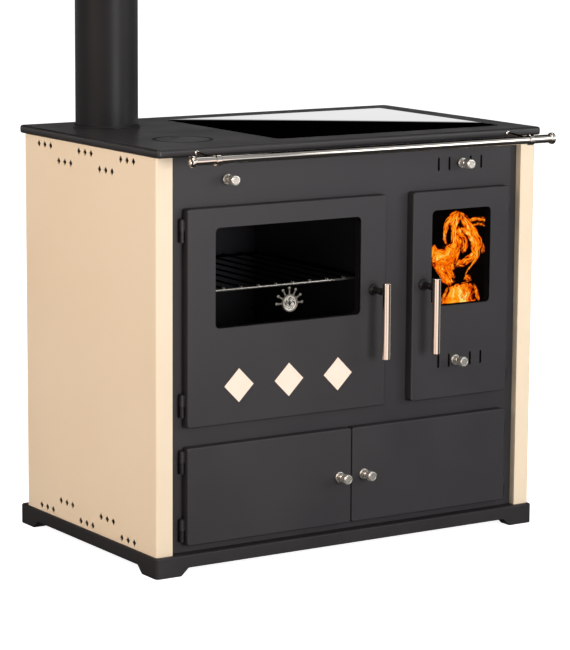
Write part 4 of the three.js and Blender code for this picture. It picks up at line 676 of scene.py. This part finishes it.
@dataclass
class CarriedSolids:
    """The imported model's solids, each with its finish and a small rounding on its edges.

    Args:
        finishes: Node names, each with its finish.
        edge_mm: Rounding of the edges of nodes that differ from the usual one.
    """

    finishes: dict[str, Finish]
    edge_mm: dict[str, float] = field(default_factory=dict)
    usual_edge_mm: float = 0.35
    merge_mm: float = 0.002
    flat_degrees: float = 0.2
    bevel_from_degrees: float = 38.0
    sharp_from_degrees: float = 40.0

    def mesh_tree(self, name: str) -> tuple[Tree, Socket]:
        """Return a new modifier tree and the mesh that comes into it."""
        tree = bpy.data.node_groups.new(name, "GeometryNodeTree")
        for way in ("INPUT", "OUTPUT"):
            tree.interface.new_socket("Geometry", in_out=way, socket_type="NodeSocketGeometry")
        return tree, add_node(tree, "NodeGroupInput").outputs[0]

    def joined_faces(self) -> Tree:
        """Return a modifier tree that joins loose faces and drops their stored normals."""
        tree, source = self.mesh_tree("joined_faces")
        bare = add_node(tree, "GeometryNodeRemoveAttribute", {"Geometry": source, "Name": "custom_normal"})
        merged = add_node(tree, "GeometryNodeMergeByDistance",
                          {"Geometry": bare.outputs[0], "Distance": self.merge_mm * MM})
        add_node(tree, "NodeGroupOutput", {0: merged.outputs[0]})
        return tree

    def soft_shading(self) -> Tree:
        """Return a modifier tree that shades smooth across all but the sharp edges."""
        tree, source = self.mesh_tree("soft_shading")
        faces = add_node(tree, "GeometryNodeSetShadeSmooth", {0: source, "Shade Smooth": True}, domain="FACE")
        bend = add_node(tree, "GeometryNodeInputMeshEdgeAngle").outputs["Unsigned Angle"]
        soft = add_node(tree, "FunctionNodeCompare", {0: bend, 1: math.radians(self.sharp_from_degrees)},
                        data_type="FLOAT", operation="LESS_EQUAL")
        edges = add_node(tree, "GeometryNodeSetShadeSmooth",
                         {0: faces.outputs[0], "Shade Smooth": soft.outputs[0]}, domain="EDGE")
        add_node(tree, "NodeGroupOutput", {0: edges.outputs[0]})
        return tree

    def dress(self) -> None:
        """Give every listed solid its finish, its rounded edges and its smooth shading."""
        joining, shading = self.joined_faces(), self.soft_shading()
        for name, finish in self.finishes.items():
            solid = frame["nodes"][name]
            for slot in solid.material_slots:
                slot.material = finish.material()
            solid.modifiers.new("joined", "NODES").node_group = joining
            width = self.edge_mm.get(name, self.usual_edge_mm)
            if width:
                flat = solid.modifiers.new("flat_faces", "DECIMATE")
                flat.decimate_type, flat.angle_limit = "DISSOLVE", math.radians(self.flat_degrees)
                edge = solid.modifiers.new("edges", "BEVEL")
                edge.width, edge.segments = width * MM, 2
                edge.limit_method, edge.angle_limit = "ANGLE", math.radians(self.bevel_from_degrees)
                edge.use_clamp_overlap = True
            solid.modifiers.new("shading", "NODES").node_group = shading
            solid.modifiers.new("level_normals", "WEIGHTED_NORMAL").keep_sharp = True
            log.info("solid %s as %s", name, finish.name)


# ------ turned metal


@dataclass
class Stovepipe:
    """The pipe and its collar on the hob."""

    x: float = -317.0
    y: float = 215.0
    radius: float = 65.0
    wall: float = 2.0
    bottom: float = 842.3
    top: float = 1350.0
    collar_radius: float = 69.5
    collar_bottom: float = 850.3
    collar_top: float = 855.3
    collar_chamfer: float = 2.0
    gap: float = 0.3
    segments: int = 128

    def build(self) -> None:
        """Make the pipe and the collar."""
        inner = self.radius - self.wall
        outline = [(inner, self.bottom), (self.radius, self.bottom), (self.radius, self.top), (inner, self.top)]
        inside, cut = self.radius + self.gap, self.collar_chamfer
        low, high, out = self.collar_bottom, self.collar_top, self.collar_radius
        lip = [(inside, low), (out, low), (out, high - cut), (out - cut, high), (inside, high), (inside, low)]
        for node, ending, ring in (("flue_pipe", "rolled", rounded([*outline, outline[0]], 0.4)),
                                   ("flue_collar", "pressed", lip)):
            shape = bmesh.new()
            turned(shape, ring, (self.x, self.y, 0), (0, 0, 1), self.segments)
            stand_in(node, ending, shape, "stove", PIPE_PAINT, RecordSlot.STOVEPIPE)


@dataclass
class TurnedKnob:
    """A small turned knob on a round rose.

    Args:
        node: The CAD node that it stands for.
        body: The body it moves with.
        seat: Middle of its rose on the sheet that it stands on.
    """

    node: str
    body: str
    seat: Point

    def build(self) -> None:
        """Make the knob with its rose, neck, waist and dished head."""
        rose = [(0, 0.3), (11, 0.3), (11, 2.2), (9.6, 3.4)]
        neck = [(4.6, 3.4), (4.2, 4), (4.2, 10)]
        waist = [(8.8, 11.4), (9.2, 13), (9.2, 15), (8.2, 16.4), (8.4, 20)]
        head = [(10.3, 23), (10.3, 31.6), (9, 33.6), (7.4, 34), (7, 33.4), (0, 33.4)]
        shape = bmesh.new()
        turned(shape, rounded([*rose, *neck, *waist, *head], 0.5), self.seat, (0, -1, 0), 48)
        stand_in(self.node, "turned", shape, self.body, NICKEL, RecordSlot.NICKEL)


@dataclass
class RodHandle:
    """A door's rod handle and the spindle that carries it.

    Args:
        name: Start of the CAD nodes' names.
        body: The body it moves with.
        x: The spindle's x.
        z: The spindle's height.
        cam: Left and right end of the latch cam.
    """

    name: str
    body: str
    x: float
    z: float
    cam: Pair
    door_face: float = -235.0
    standoff: float = 48.0
    rod_radius: float = 9.0
    rod_chamfer: float = 1.0
    above: float = 19.5
    below: float = 137.5
    gap: float = 0.3
    spindle_back: float = -33.0
    cam_front: float = -206.0
    cam_depth: float = 4.0
    cam_half_height: float = 4.5

    def build(self) -> None:
        """Make the chrome rod and the black spindle with rosette and cam."""
        low, high, r, cut = self.z - self.below, self.z + self.above, self.rod_radius, self.rod_chamfer
        shape = bmesh.new()
        turned(shape, rounded([(0, low), (r - cut, low), (r, low + cut), (r, high - cut), (r - cut, high),
                               (0, high)], 0.5), (self.x, self.door_face - self.standoff, 0), (0, 0, 1), 64)
        stand_in(f"{self.name}_handle_rod", "polished", shape, self.body, CHROME, RecordSlot.CHROME)
        reach = self.standoff - r - self.gap
        rosette = [(0, self.spindle_back), (4.5, self.spindle_back), (4.5, self.gap), (11.5, self.gap),
                   (11.5, 2.4), (10, 4), (7.5, 4), (6.5, 6)]
        post = [(6.5, reach - 13), (7.4, reach - 12), (7.4, reach - 9), (6.5, reach - 8), (6.5, reach - 4),
                (8, reach - 2), (8, reach), (0, reach)]
        shape = bmesh.new()
        turned(shape, rounded([*rosette, *post], 0.5), (self.x, self.door_face, self.z), (0, -1, 0), 48)
        left, right = self.cam
        half = self.cam_half_height
        plate(shape, rounded_outline(left, self.z - half, right, self.z + half, half - 0.1), self.cam_front,
              self.cam_depth)
        stand_in(f"{self.name}_handle_spindle", "turned", shape, self.body, BLACKENED, RecordSlot.BLACK_STEEL)


@dataclass
class TowelRail:
    """The chrome rail with dished end caps, and its two ring brackets."""

    y: float = -320.0
    z: float = 834.0
    half_length: float = 436.6
    radius: float = 8.5
    cap_radius: float = 12.0
    cap_length: float = 9.0
    cap_chamfer: float = 2.0
    cap_dish: float = 3.0
    bracket_x: float = 377.0
    frame_front: float = -245.0
    arm_rise: float = 6.5
    arm_radius: float = 3.6
    arm_start: float = 10.4
    gap: float = 0.3

    def build(self) -> None:
        """Make the rail and both brackets."""
        end, start, cap, cut = (self.half_length, self.half_length - self.cap_length, self.cap_radius,
                                self.cap_chamfer)
        half = [(self.radius, start), (cap - cut, start), (cap, start + cut), (cap, end - cut), (cap - cut, end),
                (6.5, end), (5.5, end - self.cap_dish), (0, end - self.cap_dish)]
        mirrored = [(r, -along) for r, along in reversed(half)]
        shape = bmesh.new()
        turned(shape, rounded([*mirrored, *half], 0.6), (0, self.y, self.z), (1, 0, 0), 64)
        stand_in("towel_rail", "polished", shape, "stove", CHROME, RecordSlot.CHROME)
        ring = [(8.8, -5.5), (10.6, -5.5), (11.2, -4.6), (11.2, 4.6), (10.6, 5.5), (8.8, 5.5), (8.8, -5.5)]
        pad = [(0, 0), (5, 0), (5, 1), (4.2, 1.6), (0, 1.6)]
        for side, x in (("right", self.bracket_x), ("left", -self.bracket_x)):
            shape = bmesh.new()
            turned(shape, ring, (x, self.y, self.z), (1, 0, 0), 64)
            middle, foot = Vector((x, self.y, self.z)), (x, self.frame_front - self.gap, self.z + self.arm_rise)
            along = (Vector(foot) - middle).normalized()
            bar(shape, tuple(middle + along * self.arm_start), foot, self.arm_radius, self.arm_radius * 0.15)
            turned(shape, rounded(pad, 0.4), foot, (0, -1, 0), 48)
            stand_in(f"rail_bracket_{side}", "polished", shape, "stove", CHROME, RecordSlot.CHROME)


@dataclass
class OvenThermometer:
    """The round thermometer on the oven's glass, with rays round its upper half."""

    x: float = -155.5
    z: float = 527.0
    seat: float = -232.7
    radius: float = 18.0
    rays: int = 7
    ray_reach: float = 30.0
    ray_rise: float = 3.3
    ray_depth: float = 2.0
    dial_radius: float = 15.1
    dial_rise: Pair = (3.75, 3.95)

    def build(self) -> None:
        """Make the case with its rays, and the embossed dial in it."""
        middle, r = (self.x, self.seat, self.z), self.radius
        case = [(0, -13), (4, -13), (4, 0.3), (r - 1, 0.3), (r, 1.3), (r, 6), (r - 1, 7), (15.8, 7), (15.4, 6.2),
                (15.2, 3.7), (0, 3.7)]
        bead = [(0, 0), (3.3, 0), (3.3, 1.6), (2.2, 2.6), (0, 2.6)]
        shape = bmesh.new()
        turned(shape, rounded(case, 0.3), middle, (0, -1, 0), 72)
        front = self.seat - self.ray_rise
        for step in range(self.rays):
            angle = math.pi * step / (self.rays - 1)
            out, side = Vector((math.cos(angle), math.sin(angle))), Vector((-math.sin(angle), math.cos(angle)))
            root, tip = out * (r - 2), out * self.ray_reach
            corners = [root - side * 1.9, tip - side * 1.0, tip + side * 1.0, root + side * 1.9]
            plate(shape, [(self.x + c.x, self.z + c.y) for c in corners], front, self.ray_depth)
            turned(shape, rounded(bead, 0.4), (self.x + tip.x, front + self.ray_depth, self.z + tip.y),
                   (0, -1, 0), 24)
        stand_in("oven_thermometer", "case", shape, "oven_door", AGED_NICKEL, RecordSlot.NICKEL)
        low, high = self.dial_rise
        shape = bmesh.new()
        turned(shape, [(0, low), (self.dial_radius, low), (self.dial_radius, high), (0, high)], middle,
               (0, -1, 0), 72)
        new_piece("oven_thermometer_dial", finished_mesh("oven_thermometer_dial", shape), "oven_door",
                  EmbossedDial("embossed_dial", middle, self.dial_radius), RecordSlot.NICKEL)


# ------ the fire


@dataclass
class Tongue:
    """One tongue of flame: points up its middle, and how hot it is.

    Args:
        heat: 0 is dull red, 1 is pale yellow.
        line: Points in thousandths of the window's width and height, each with the tongue's half
            width there in thousandths of the window's width.
    """

    heat: float
    line: list[tuple[int, int, int]]
    steps: int = 9
    strands: int = 8
    end_rows: float = 6.0
    end_loss: float = 0.8

    def middle(self) -> list[Vector]:
        """Return points on a smooth line through the given ones, as shares of the window."""
        points = [Vector([part / 1000 for part in point]) for point in (self.line[0], *self.line, self.line[-1])]
        smooth = []
        for before, start, end, after in zip(points, points[1:], points[2:], points[3:]):
            for step in range(self.steps):
                t = step / self.steps
                smooth.append(0.5 * (2 * start + (end - before) * t
                                     + (2 * before - 5 * start + 4 * end - after) * t ** 2
                                     + (3 * start - before - 3 * end + after) * t ** 3))
        return [*smooth, points[-1]]

    def mesh(self, name: str, spot: Callable[[float, float], Vector], aspect: float) -> Mesh:
        """Make the tongue's sheet.

        Args:
            name: The mesh's name.
            spot: Turns window shares into a place in metres.
            aspect: The window's height over its width.

        Returns:
            The new mesh, with the place attribute that the flame's finish reads.
        """
        line = self.middle()
        verts, faces, places, along = [], [], [], 0.0
        for index, point in enumerate(line):
            before, after = line[max(index - 1, 0)], line[min(index + 1, len(line) - 1)]
            run = Vector((after.x - before.x, (after.y - before.y) * aspect))
            cooled = self.end_loss * max(0.0, 1 - min(index, len(line) - 1 - index) / self.end_rows)
            side = Vector((-run.y, run.x)).normalized()
            for strand in range(self.strands + 1):
                across = 2 * strand / self.strands - 1
                verts.append(spot(point.x + side.x * across * point.z,
                                  point.y + side.y * across * point.z / aspect))
                places += [across, along, self.heat - cooled]
            along += run.length / 2 / max(point.z, 0.02)
        width = self.strands + 1
        for row in range(len(line) - 1):
            for strand in range(self.strands):
                low = row * width + strand
                faces.append((low, low + 1, low + width + 1, low + width))
        mesh = bpy.data.meshes.new(name)
        mesh.from_pydata(verts, [], faces)
        mesh.attributes.new(FLAME_PLACE, "FLOAT_VECTOR", "POINT").data.foreach_set("vector", places)
        return mesh


# Tongues of the fire behind the glass, from the back to the front.
TONGUES = [
    Tongue(0.15, [(910, 510, 22), (920, 550, 47), (920, 600, 41), (910, 630, 16)]),
    Tongue(0.22, [(660, 810, 16), (760, 820, 24), (850, 830, 21), (930, 810, 21), (1000, 780, 13)]),
    Tongue(0.45, [(620, 850, 13), (730, 880, 27), (840, 880, 30), (930, 870, 33), (1000, 850, 22)]),
    Tongue(0.33, [(460, 820, 71), (520, 750, 95), (570, 670, 114), (590, 590, 87), (540, 560, 40)]),
    Tongue(0.30, [(210, -10, 22), (250, 70, 38), (290, 140, 32), (340, 200, 13)]),
    Tongue(0.35, [(880, 0, 13), (840, 60, 38), (810, 140, 32), (770, 200, 16)]),
    Tongue(0.85, [(540, -40, 309), (550, 60, 277), (540, 150, 225), (530, 220, 166)]),
    Tongue(0.28, [(600, 30, 63), (610, 90, 92), (620, 160, 57), (640, 210, 16)]),
    Tongue(0.50, [(590, 260, 16), (660, 270, 51), (730, 240, 19)]),
    Tongue(0.45, [(140, 470, 47), (140, 400, 44), (210, 330, 47), (280, 260, 51), (380, 210, 32)]),
    Tongue(0.55, [(430, 460, 95), (340, 410, 98), (360, 350, 66), (440, 280, 19)]),
    Tongue(0.60, [(290, 640, 19), (250, 700, 28), (260, 770, 36), (300, 860, 52), (400, 930, 60), (510, 970, 25)]),
    Tongue(0.50, [(440, 410, 40), (540, 430, 60), (650, 460, 60), (740, 500, 55), (790, 550, 40)]),
    Tongue(0.62, [(400, 220, 71), (310, 310, 87), (230, 380, 95), (200, 450, 142), (140, 520, 134), (80, 590, 71),
                  (80, 650, 16)]),
    Tongue(0.62, [(510, 970, 22), (570, 900, 63), (650, 820, 76), (740, 740, 82), (800, 650, 95), (790, 560, 89),
                  (810, 490, 44), (740, 410, 19), (660, 350, 13), (610, 290, 8)]),
    Tongue(0.70, [(270, 430, 111), (330, 500, 150), (400, 580, 134), (440, 650, 87), (420, 740, 60), (410, 820, 63),
                  (430, 890, 79), (500, 970, 32)]),
    Tongue(0.75, [(40, 480, 47), (160, 510, 139), (300, 520, 171), (450, 510, 71)]),
    Tongue(0.90, [(540, 790, 28), (650, 740, 38), (730, 660, 41), (760, 580, 32)]),
]


@dataclass
class Fire:
    """Logs, embers and flames on the grate, behind the firebox door's glass."""

    x: float = 268.75
    left: float = 166.0
    right: float = 371.0
    grate_top: float = 407.3
    seed: int = 7
    log_rise: float = 0.05
    log_wear: float = 0.07
    ember_count: int = 90
    ember_size: Pair = (4, 10)
    ember_wear: float = 0.16
    ember_bed: Pair = (-178, -30)
    wall_gap: float = 14.0
    window: tuple[float, float, float, float] = (193.8, 489.0, 149.9, 200.5)
    glass_y: float = -231.0
    flame_depth: float = 44.0
    flame_pitch: float = 0.7
    seen_from: Pair = (33.0, 9.7)

    def log_of_wood(self, name: str, middle: Point, length: float, radius: float, turn: float) -> None:
        """Make one charred log.

        Args:
            name: The piece's name.
            middle: Its middle.
            length: Its length.
            radius: Its rough radius.
            turn: Its direction in plan, in degrees from the x axis.
        """
        draw = random.Random(f"{self.seed}{name}")
        angle = math.radians(turn)
        heading = Vector((math.cos(angle), math.sin(angle), self.log_rise)).normalized()
        start = Vector(middle) - heading * length / 2
        shape = bmesh.new()
        turned(shape, rounded([(0, 0), (radius, 0), (radius, length), (0, length)], radius * 0.2), tuple(start),
               tuple(heading), 20)
        bmesh.ops.subdivide_edges(shape, edges=[e for e in shape.edges if e.calc_length() > 40 * MM], cuts=8,
                                  use_grid_fill=True)
        for vert in shape.verts:
            vert.co += Vector([draw.uniform(-1, 1) for _ in range(3)]) * radius * self.log_wear * MM
        new_piece(name, finished_mesh(name, shape, 60.0), "stove", BurningWood("burning_wood"))

    def embers(self) -> None:
        """Make the bed of embers."""
        draw = random.Random(self.seed)
        shape = bmesh.new()
        for _ in range(self.ember_count):
            size = draw.uniform(*self.ember_size)
            place = Vector((draw.uniform(self.left + self.wall_gap, self.right - self.wall_gap),
                            draw.uniform(*self.ember_bed), self.grate_top + size * 0.55))
            lump = bmesh.ops.create_icosphere(shape, subdivisions=1, radius=size * MM,
                                              matrix=Matrix.Translation(place * MM))
            for vert in lump["verts"]:
                vert.co += Vector([draw.uniform(-1, 1) for _ in range(3)]) * size * self.ember_wear * MM
                vert.co.z = max(vert.co.z, (self.grate_top + 0.2) * MM)
        new_piece("ember_bed", finished_mesh("ember_bed", shape, 70.0), "stove",
                  BurningWood("glowing_embers", glow="ff7a1c", crack_mm=6.0))

    def flames(self) -> None:
        """Make the tongues of flame, each on a sheet of its own."""
        left, bottom, width, height = self.window
        yaw, pitch = (math.radians(angle) for angle in self.seen_from)
        for index, tongue in enumerate(TONGUES):
            depth = self.flame_depth - self.flame_pitch * index

            def spot(u: float, v: float) -> Vector:
                """Return the place that shows at the given shares of the window."""
                x = min(left + width * u + depth * math.tan(yaw), self.right)
                z = max(bottom + height * v - depth * math.tan(pitch) / math.cos(yaw), self.grate_top + 1)
                return Vector((x, self.glass_y + depth, z)) * MM

            name = f"flame_{index}"
            flame = new_piece(name, tongue.mesh(name, spot, height / width), "stove", FlameGas("flame_gas"))
            flame.visible_diffuse = flame.visible_glossy = flame.visible_shadow = False

    def build(self) -> None:
        """Make the logs, the ember bed and the flames."""
        for place, (x, y, rise), length, radius, turn in (
                ("front", (6, -140, 24), 150, 22, 4), ("rear", (10, -70, 26), 172, 24, -2),
                ("top", (8, -106, 47), 144, 17, 1)):
            self.log_of_wood(f"burning_log_{place}", (self.x + x, y, self.grate_top + rise), length, radius, turn)
        self.embers()
        self.flames()


# ------ studio


@dataclass
class Studio:
    """Pale floor, soft lamps, white surround, cards for the metal to mirror, and the camera."""

    lens: float = 158.03
    sensor: float = 36.0
    eye: Point = (-3224.8, -4939.2, 1444.0)
    pitch: float = 9.715
    yaw: float = 33.04
    roll: float = 0.378
    ambient: float = 0.3
    horizon_degrees: float = 5.6
    horizon_edge: float = 0.0002
    front_mirror: float = 0.35
    floor_lift: float = 0.9
    floor_mirror: float = 0.03
    low_band: float = 1.4
    card_foot: float = 0.1
    card_top: float = 0.84
    card_change: Pair = (0.42, 0.75)

    def camera(self) -> None:
        """Place the camera as the photograph's lines give it."""
        data = bpy.data.cameras.new("camera")
        data.lens, data.sensor_width, data.sensor_fit = self.lens, self.sensor, "AUTO"
        data.clip_start, data.clip_end = 0.1, 200.0
        eye = add_object("camera", data)
        eye.location = Vector(self.eye) * MM
        facing = Matrix.Identity(3)
        for angle, axis in ((-self.yaw, "Z"), (90 - self.pitch, "X"), (self.roll, "Z")):
            facing = facing @ Matrix.Rotation(math.radians(angle), 3, axis)
        eye.rotation_euler = facing.to_euler()
        bpy.context.scene.camera = eye

    def floor(self) -> None:
        """Make the wide pale floor, which shows white where it is lit."""
        material = bpy.data.materials.new("studio_floor")
        tree = emptied_tree(material)
        speck = noise(tree, object_place(tree), 400.0)["Fac"]
        matt = add_node(tree, "ShaderNodeBsdfDiffuse", {"Color": toned(tree, speck, (0.3, "e9e9e9"), (0.7, "ececec"))})
        rays, seen = sight(tree)
        glow = emission(tree, WHITE, maths(tree, "MULTIPLY", seen, self.floor_lift))
        both = add_node(tree, "ShaderNodeAddShader", {0: matt.outputs[0], 1: glow}).outputs[0]
        shown = blended(tree, rays["Is Glossy Ray"], both, emission(tree, WHITE, self.floor_mirror))
        add_node(tree, "ShaderNodeOutputMaterial", {"Surface": shown})
        shape = bmesh.new()
        bmesh.ops.create_grid(shape, x_segments=8, y_segments=8, size=40.0)
        mesh = bpy.data.meshes.new("studio_floor")
        shape.to_mesh(mesh)
        shape.free()
        mesh.materials.append(material)
        ground = add_object("studio_floor", mesh)
        ground.location.z = -0.0005

    def lamp(self, name: str, place: Point, aim: Point, size: Pair, power: float, colour: str) -> None:
        """Add one soft box.

        Args:
            name: The lamp's name.
            place: Where it stands, in metres.
            aim: What it points at, in metres.
            size: Its width and height in metres.
            power: Its power in watts.
            colour: Its colour, sRGB hex.
        """
        data = bpy.data.lights.new(name, "AREA")
        data.shape, data.size, data.size_y, data.energy = "RECTANGLE", *size, power
        data.color = linear(colour)[:3]
        lamp = add_object(name, data)
        lamp.location = place
        lamp.rotation_euler = (Vector(aim) - Vector(place)).to_track_quat("-Z", "Y").to_euler()

    def card(self, name: str, start: Pair, end: Pair, colour: str, strengths: Pair) -> None:
        """Stand up a card that only mirrored rays see.

        Args:
            name: The card's name.
            start: Left end of its foot, as x and y in metres.
            end: Right end of its foot.
            colour: Its colour, sRGB hex.
            strengths: Its brightness at the foot and at the top.
        """
        material = bpy.data.materials.new(name)
        tree = emptied_tree(material)
        level = mapped(tree, axes_of(tree, object_place(tree))["Z"], *self.card_change, *strengths)
        add_node(tree, "ShaderNodeOutputMaterial", {"Surface": emission(tree, linear(colour), level)})
        mesh = bpy.data.meshes.new(name)
        foot, top = self.card_foot, self.card_top
        mesh.from_pydata([(*start, foot), (*end, foot), (*end, top), (*start, top)], [], [(0, 1, 2, 3)])
        mesh.materials.append(material)
        sheet = add_object(name, mesh)
        sheet.visible_camera = sheet.visible_diffuse = sheet.visible_transmission = sheet.visible_shadow = False

    def surround(self) -> None:
        """Make the world: white behind the stove, soft grey light on it, a bright low band in its gloss."""
        world = bpy.data.worlds.new("surround")
        bpy.context.scene.world = world
        tree = emptied_tree(world)
        axes = axes_of(tree, add_node(tree, "ShaderNodeTexCoord").outputs["Generated"])
        sine = math.sin(math.radians(self.horizon_degrees))
        ahead = mapped(tree, axes["Y"], -0.3, 0.1, self.front_mirror, 0.0)
        band = mapped(tree, axes["Z"], sine - self.horizon_edge, sine + self.horizon_edge, self.low_band, ahead)
        rays, seen = sight(tree)
        mirrored = add_node(tree, "ShaderNodeMix", {0: rays["Is Glossy Ray"], 2: self.ambient, 3: band},
                            data_type="FLOAT")
        level = add_node(tree, "ShaderNodeMix", {0: seen, 2: mirrored.outputs[0], 3: 1.0}, data_type="FLOAT")
        light = add_node(tree, "ShaderNodeBackground", {"Color": WHITE, "Strength": level.outputs[0]})
        add_node(tree, "ShaderNodeOutputWorld", {"Surface": light.outputs[0]})

    def build(self) -> None:
        """Set up the camera, the floor, the lamps, the cards and the world."""
        self.camera()
        self.floor()
        self.surround()
        self.lamp("key_front", (0.1, -4.2, 0.95), (0, 0, 0.6), (1.1, 1.1), 74, "ffffff")
        self.lamp("fill_left", (-3.2, -0.5, 2.3), (0, 0, 0.6), (1.8, 1.8), 68, "ffeedf")
        self.lamp("fill_right", (2.4, -2.6, 1.3), (0, 0, 0.5), (1.6, 1.6), 26, "ffffff")
        self.lamp("top_soft", (0.2, 0.3, 4.2), (0, 0, 0.8), (2.6, 2.2), 45, "ffffff")
        self.card("card_warm", (-1.47, -0.42), (-1.0, -1.43), "f5d9ca", (1.3, 1.3))
        self.card("card_white", (-0.85, -1.56), (0.50, -1.68), "ffe9e0", (1.25, 1.25))
        self.card("card_dark", (0.50, -1.68), (1.25, -1.35), "ffffff", (0.02, 0.8))
        self.card("card_grey", (1.25, -1.35), (1.71, -0.34), "ffffff", (0.3, 0.5))
        bpy.context.scene.view_settings.view_transform = "Standard"


# ------ the whole stove


DOORS = ("oven", "firebox")
LEAVES = ("lower_left", "lower_right")
NODE_FINISHES = {
    STOVE_PAINT: ["front_plate", *(f"{door}_door_skin" for door in DOORS), *(f"{leaf}_door" for leaf in LEAVES)],
    BLACKENED: ["damper_slide", "secondary_air_slide", "primary_air_slide",
                *(f"{door}_door_liner" for door in DOORS), *(f"{door}_handle_spindle" for door in DOORS),
                *(f"{door}_hinge_{place}" for door in (*DOORS, *LEAVES) for place in ("lower", "upper"))],
    NICKEL: ["damper_knob", "secondary_air_knob", "primary_air_knob", *(f"{leaf}_knob" for leaf in LEAVES),
             "oven_thermometer"],
    CHROME: ["towel_rail", "rail_bracket_left", "rail_bracket_right", *(f"{door}_handle_rod" for door in DOORS)],
    ENAMEL: ["side_panel_left", "side_panel_right"],
    INLAY_ENAMEL_PAINTED_LIGHT: [f"diamond_inlay_{number}" for number in (1, 2, 3)],
    PLINTH_PAINTED_SHADE: ["plinth"],
    HOB_PAINT: ["top_frame", "lid"],
    RING_PAINTED_SEAM_SHADE: ["lid_ring"],
    ZINC_SHEET: ["floor_plate", "back_panel", "storage_liner", "ash_pan"],
    RAW_IRON: ["firebox_shell", "fire_grate", "smoke_chamber"],
    PIPE_PAINT: ["flue_pipe", "flue_collar"],
    HOB_CERAMIC: ["hob_glass"],
    FIRECLAY: [f"firebrick_{place}" for place in ("left", "right", "back")],
    OVEN_ENAMEL: ["oven_box"],
    WIRE: ["oven_shelf"],
    DOOR_GLASS: [f"{door}_door_glass" for door in DOORS],
    DOOR_ROPE: [f"{door}_door_seal" for door in DOORS],
    NEEDLE_PAINT: ["thermometer_needle"],
}
# Nodes whose edges are rounded more or less than the usual amount, by their rounding.
EDGES_MM = {
    1.2: ["oven_door_skin", "firebox_door_skin", "lower_left_door", "lower_right_door"],
    1.5: ["top_frame", "plinth"],
    0.3: ["side_panel_left", "side_panel_right"],
    0.0: ["oven_shelf", "thermometer_needle", "back_panel", "oven_box", "oven_door_seal", "firebox_door_seal"],
}
KNOBS = [
    TurnedKnob("damper_knob", "damper", (-288.5, -214.0, 781.5)),
    TurnedKnob("secondary_air_knob", "secondary_air", (283.25, -214.0, 781.5)),
    TurnedKnob("primary_air_knob", "primary_air", (257.75, -235.0, 373.5)),
    TurnedKnob("lower_left_knob", "lower_left_leaf", (-29.8, -235.0, 157.0)),
    TurnedKnob("lower_right_knob", "lower_right_leaf", (29.8, -235.0, 157.0)),
]


def main() -> None:
    """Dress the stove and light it."""
    Studio().build()
    CarriedSolids({node: finish for finish, nodes in NODE_FINISHES.items() for node in nodes},
                  {node: width for width, nodes in EDGES_MM.items() for node in nodes}).dress()
    for assembly in (Stovepipe(), *KNOBS, RodHandle("oven", "oven_handle", 48.5, 537.5, (28.5, 63.5)),
                     RodHandle("firebox", "firebox_handle", 173.0, 537.5, (163.0, 193.0)), TowelRail(),
                     OvenThermometer(), Fire()):
        assembly.build()


if __name__ == "__main__":
    main()
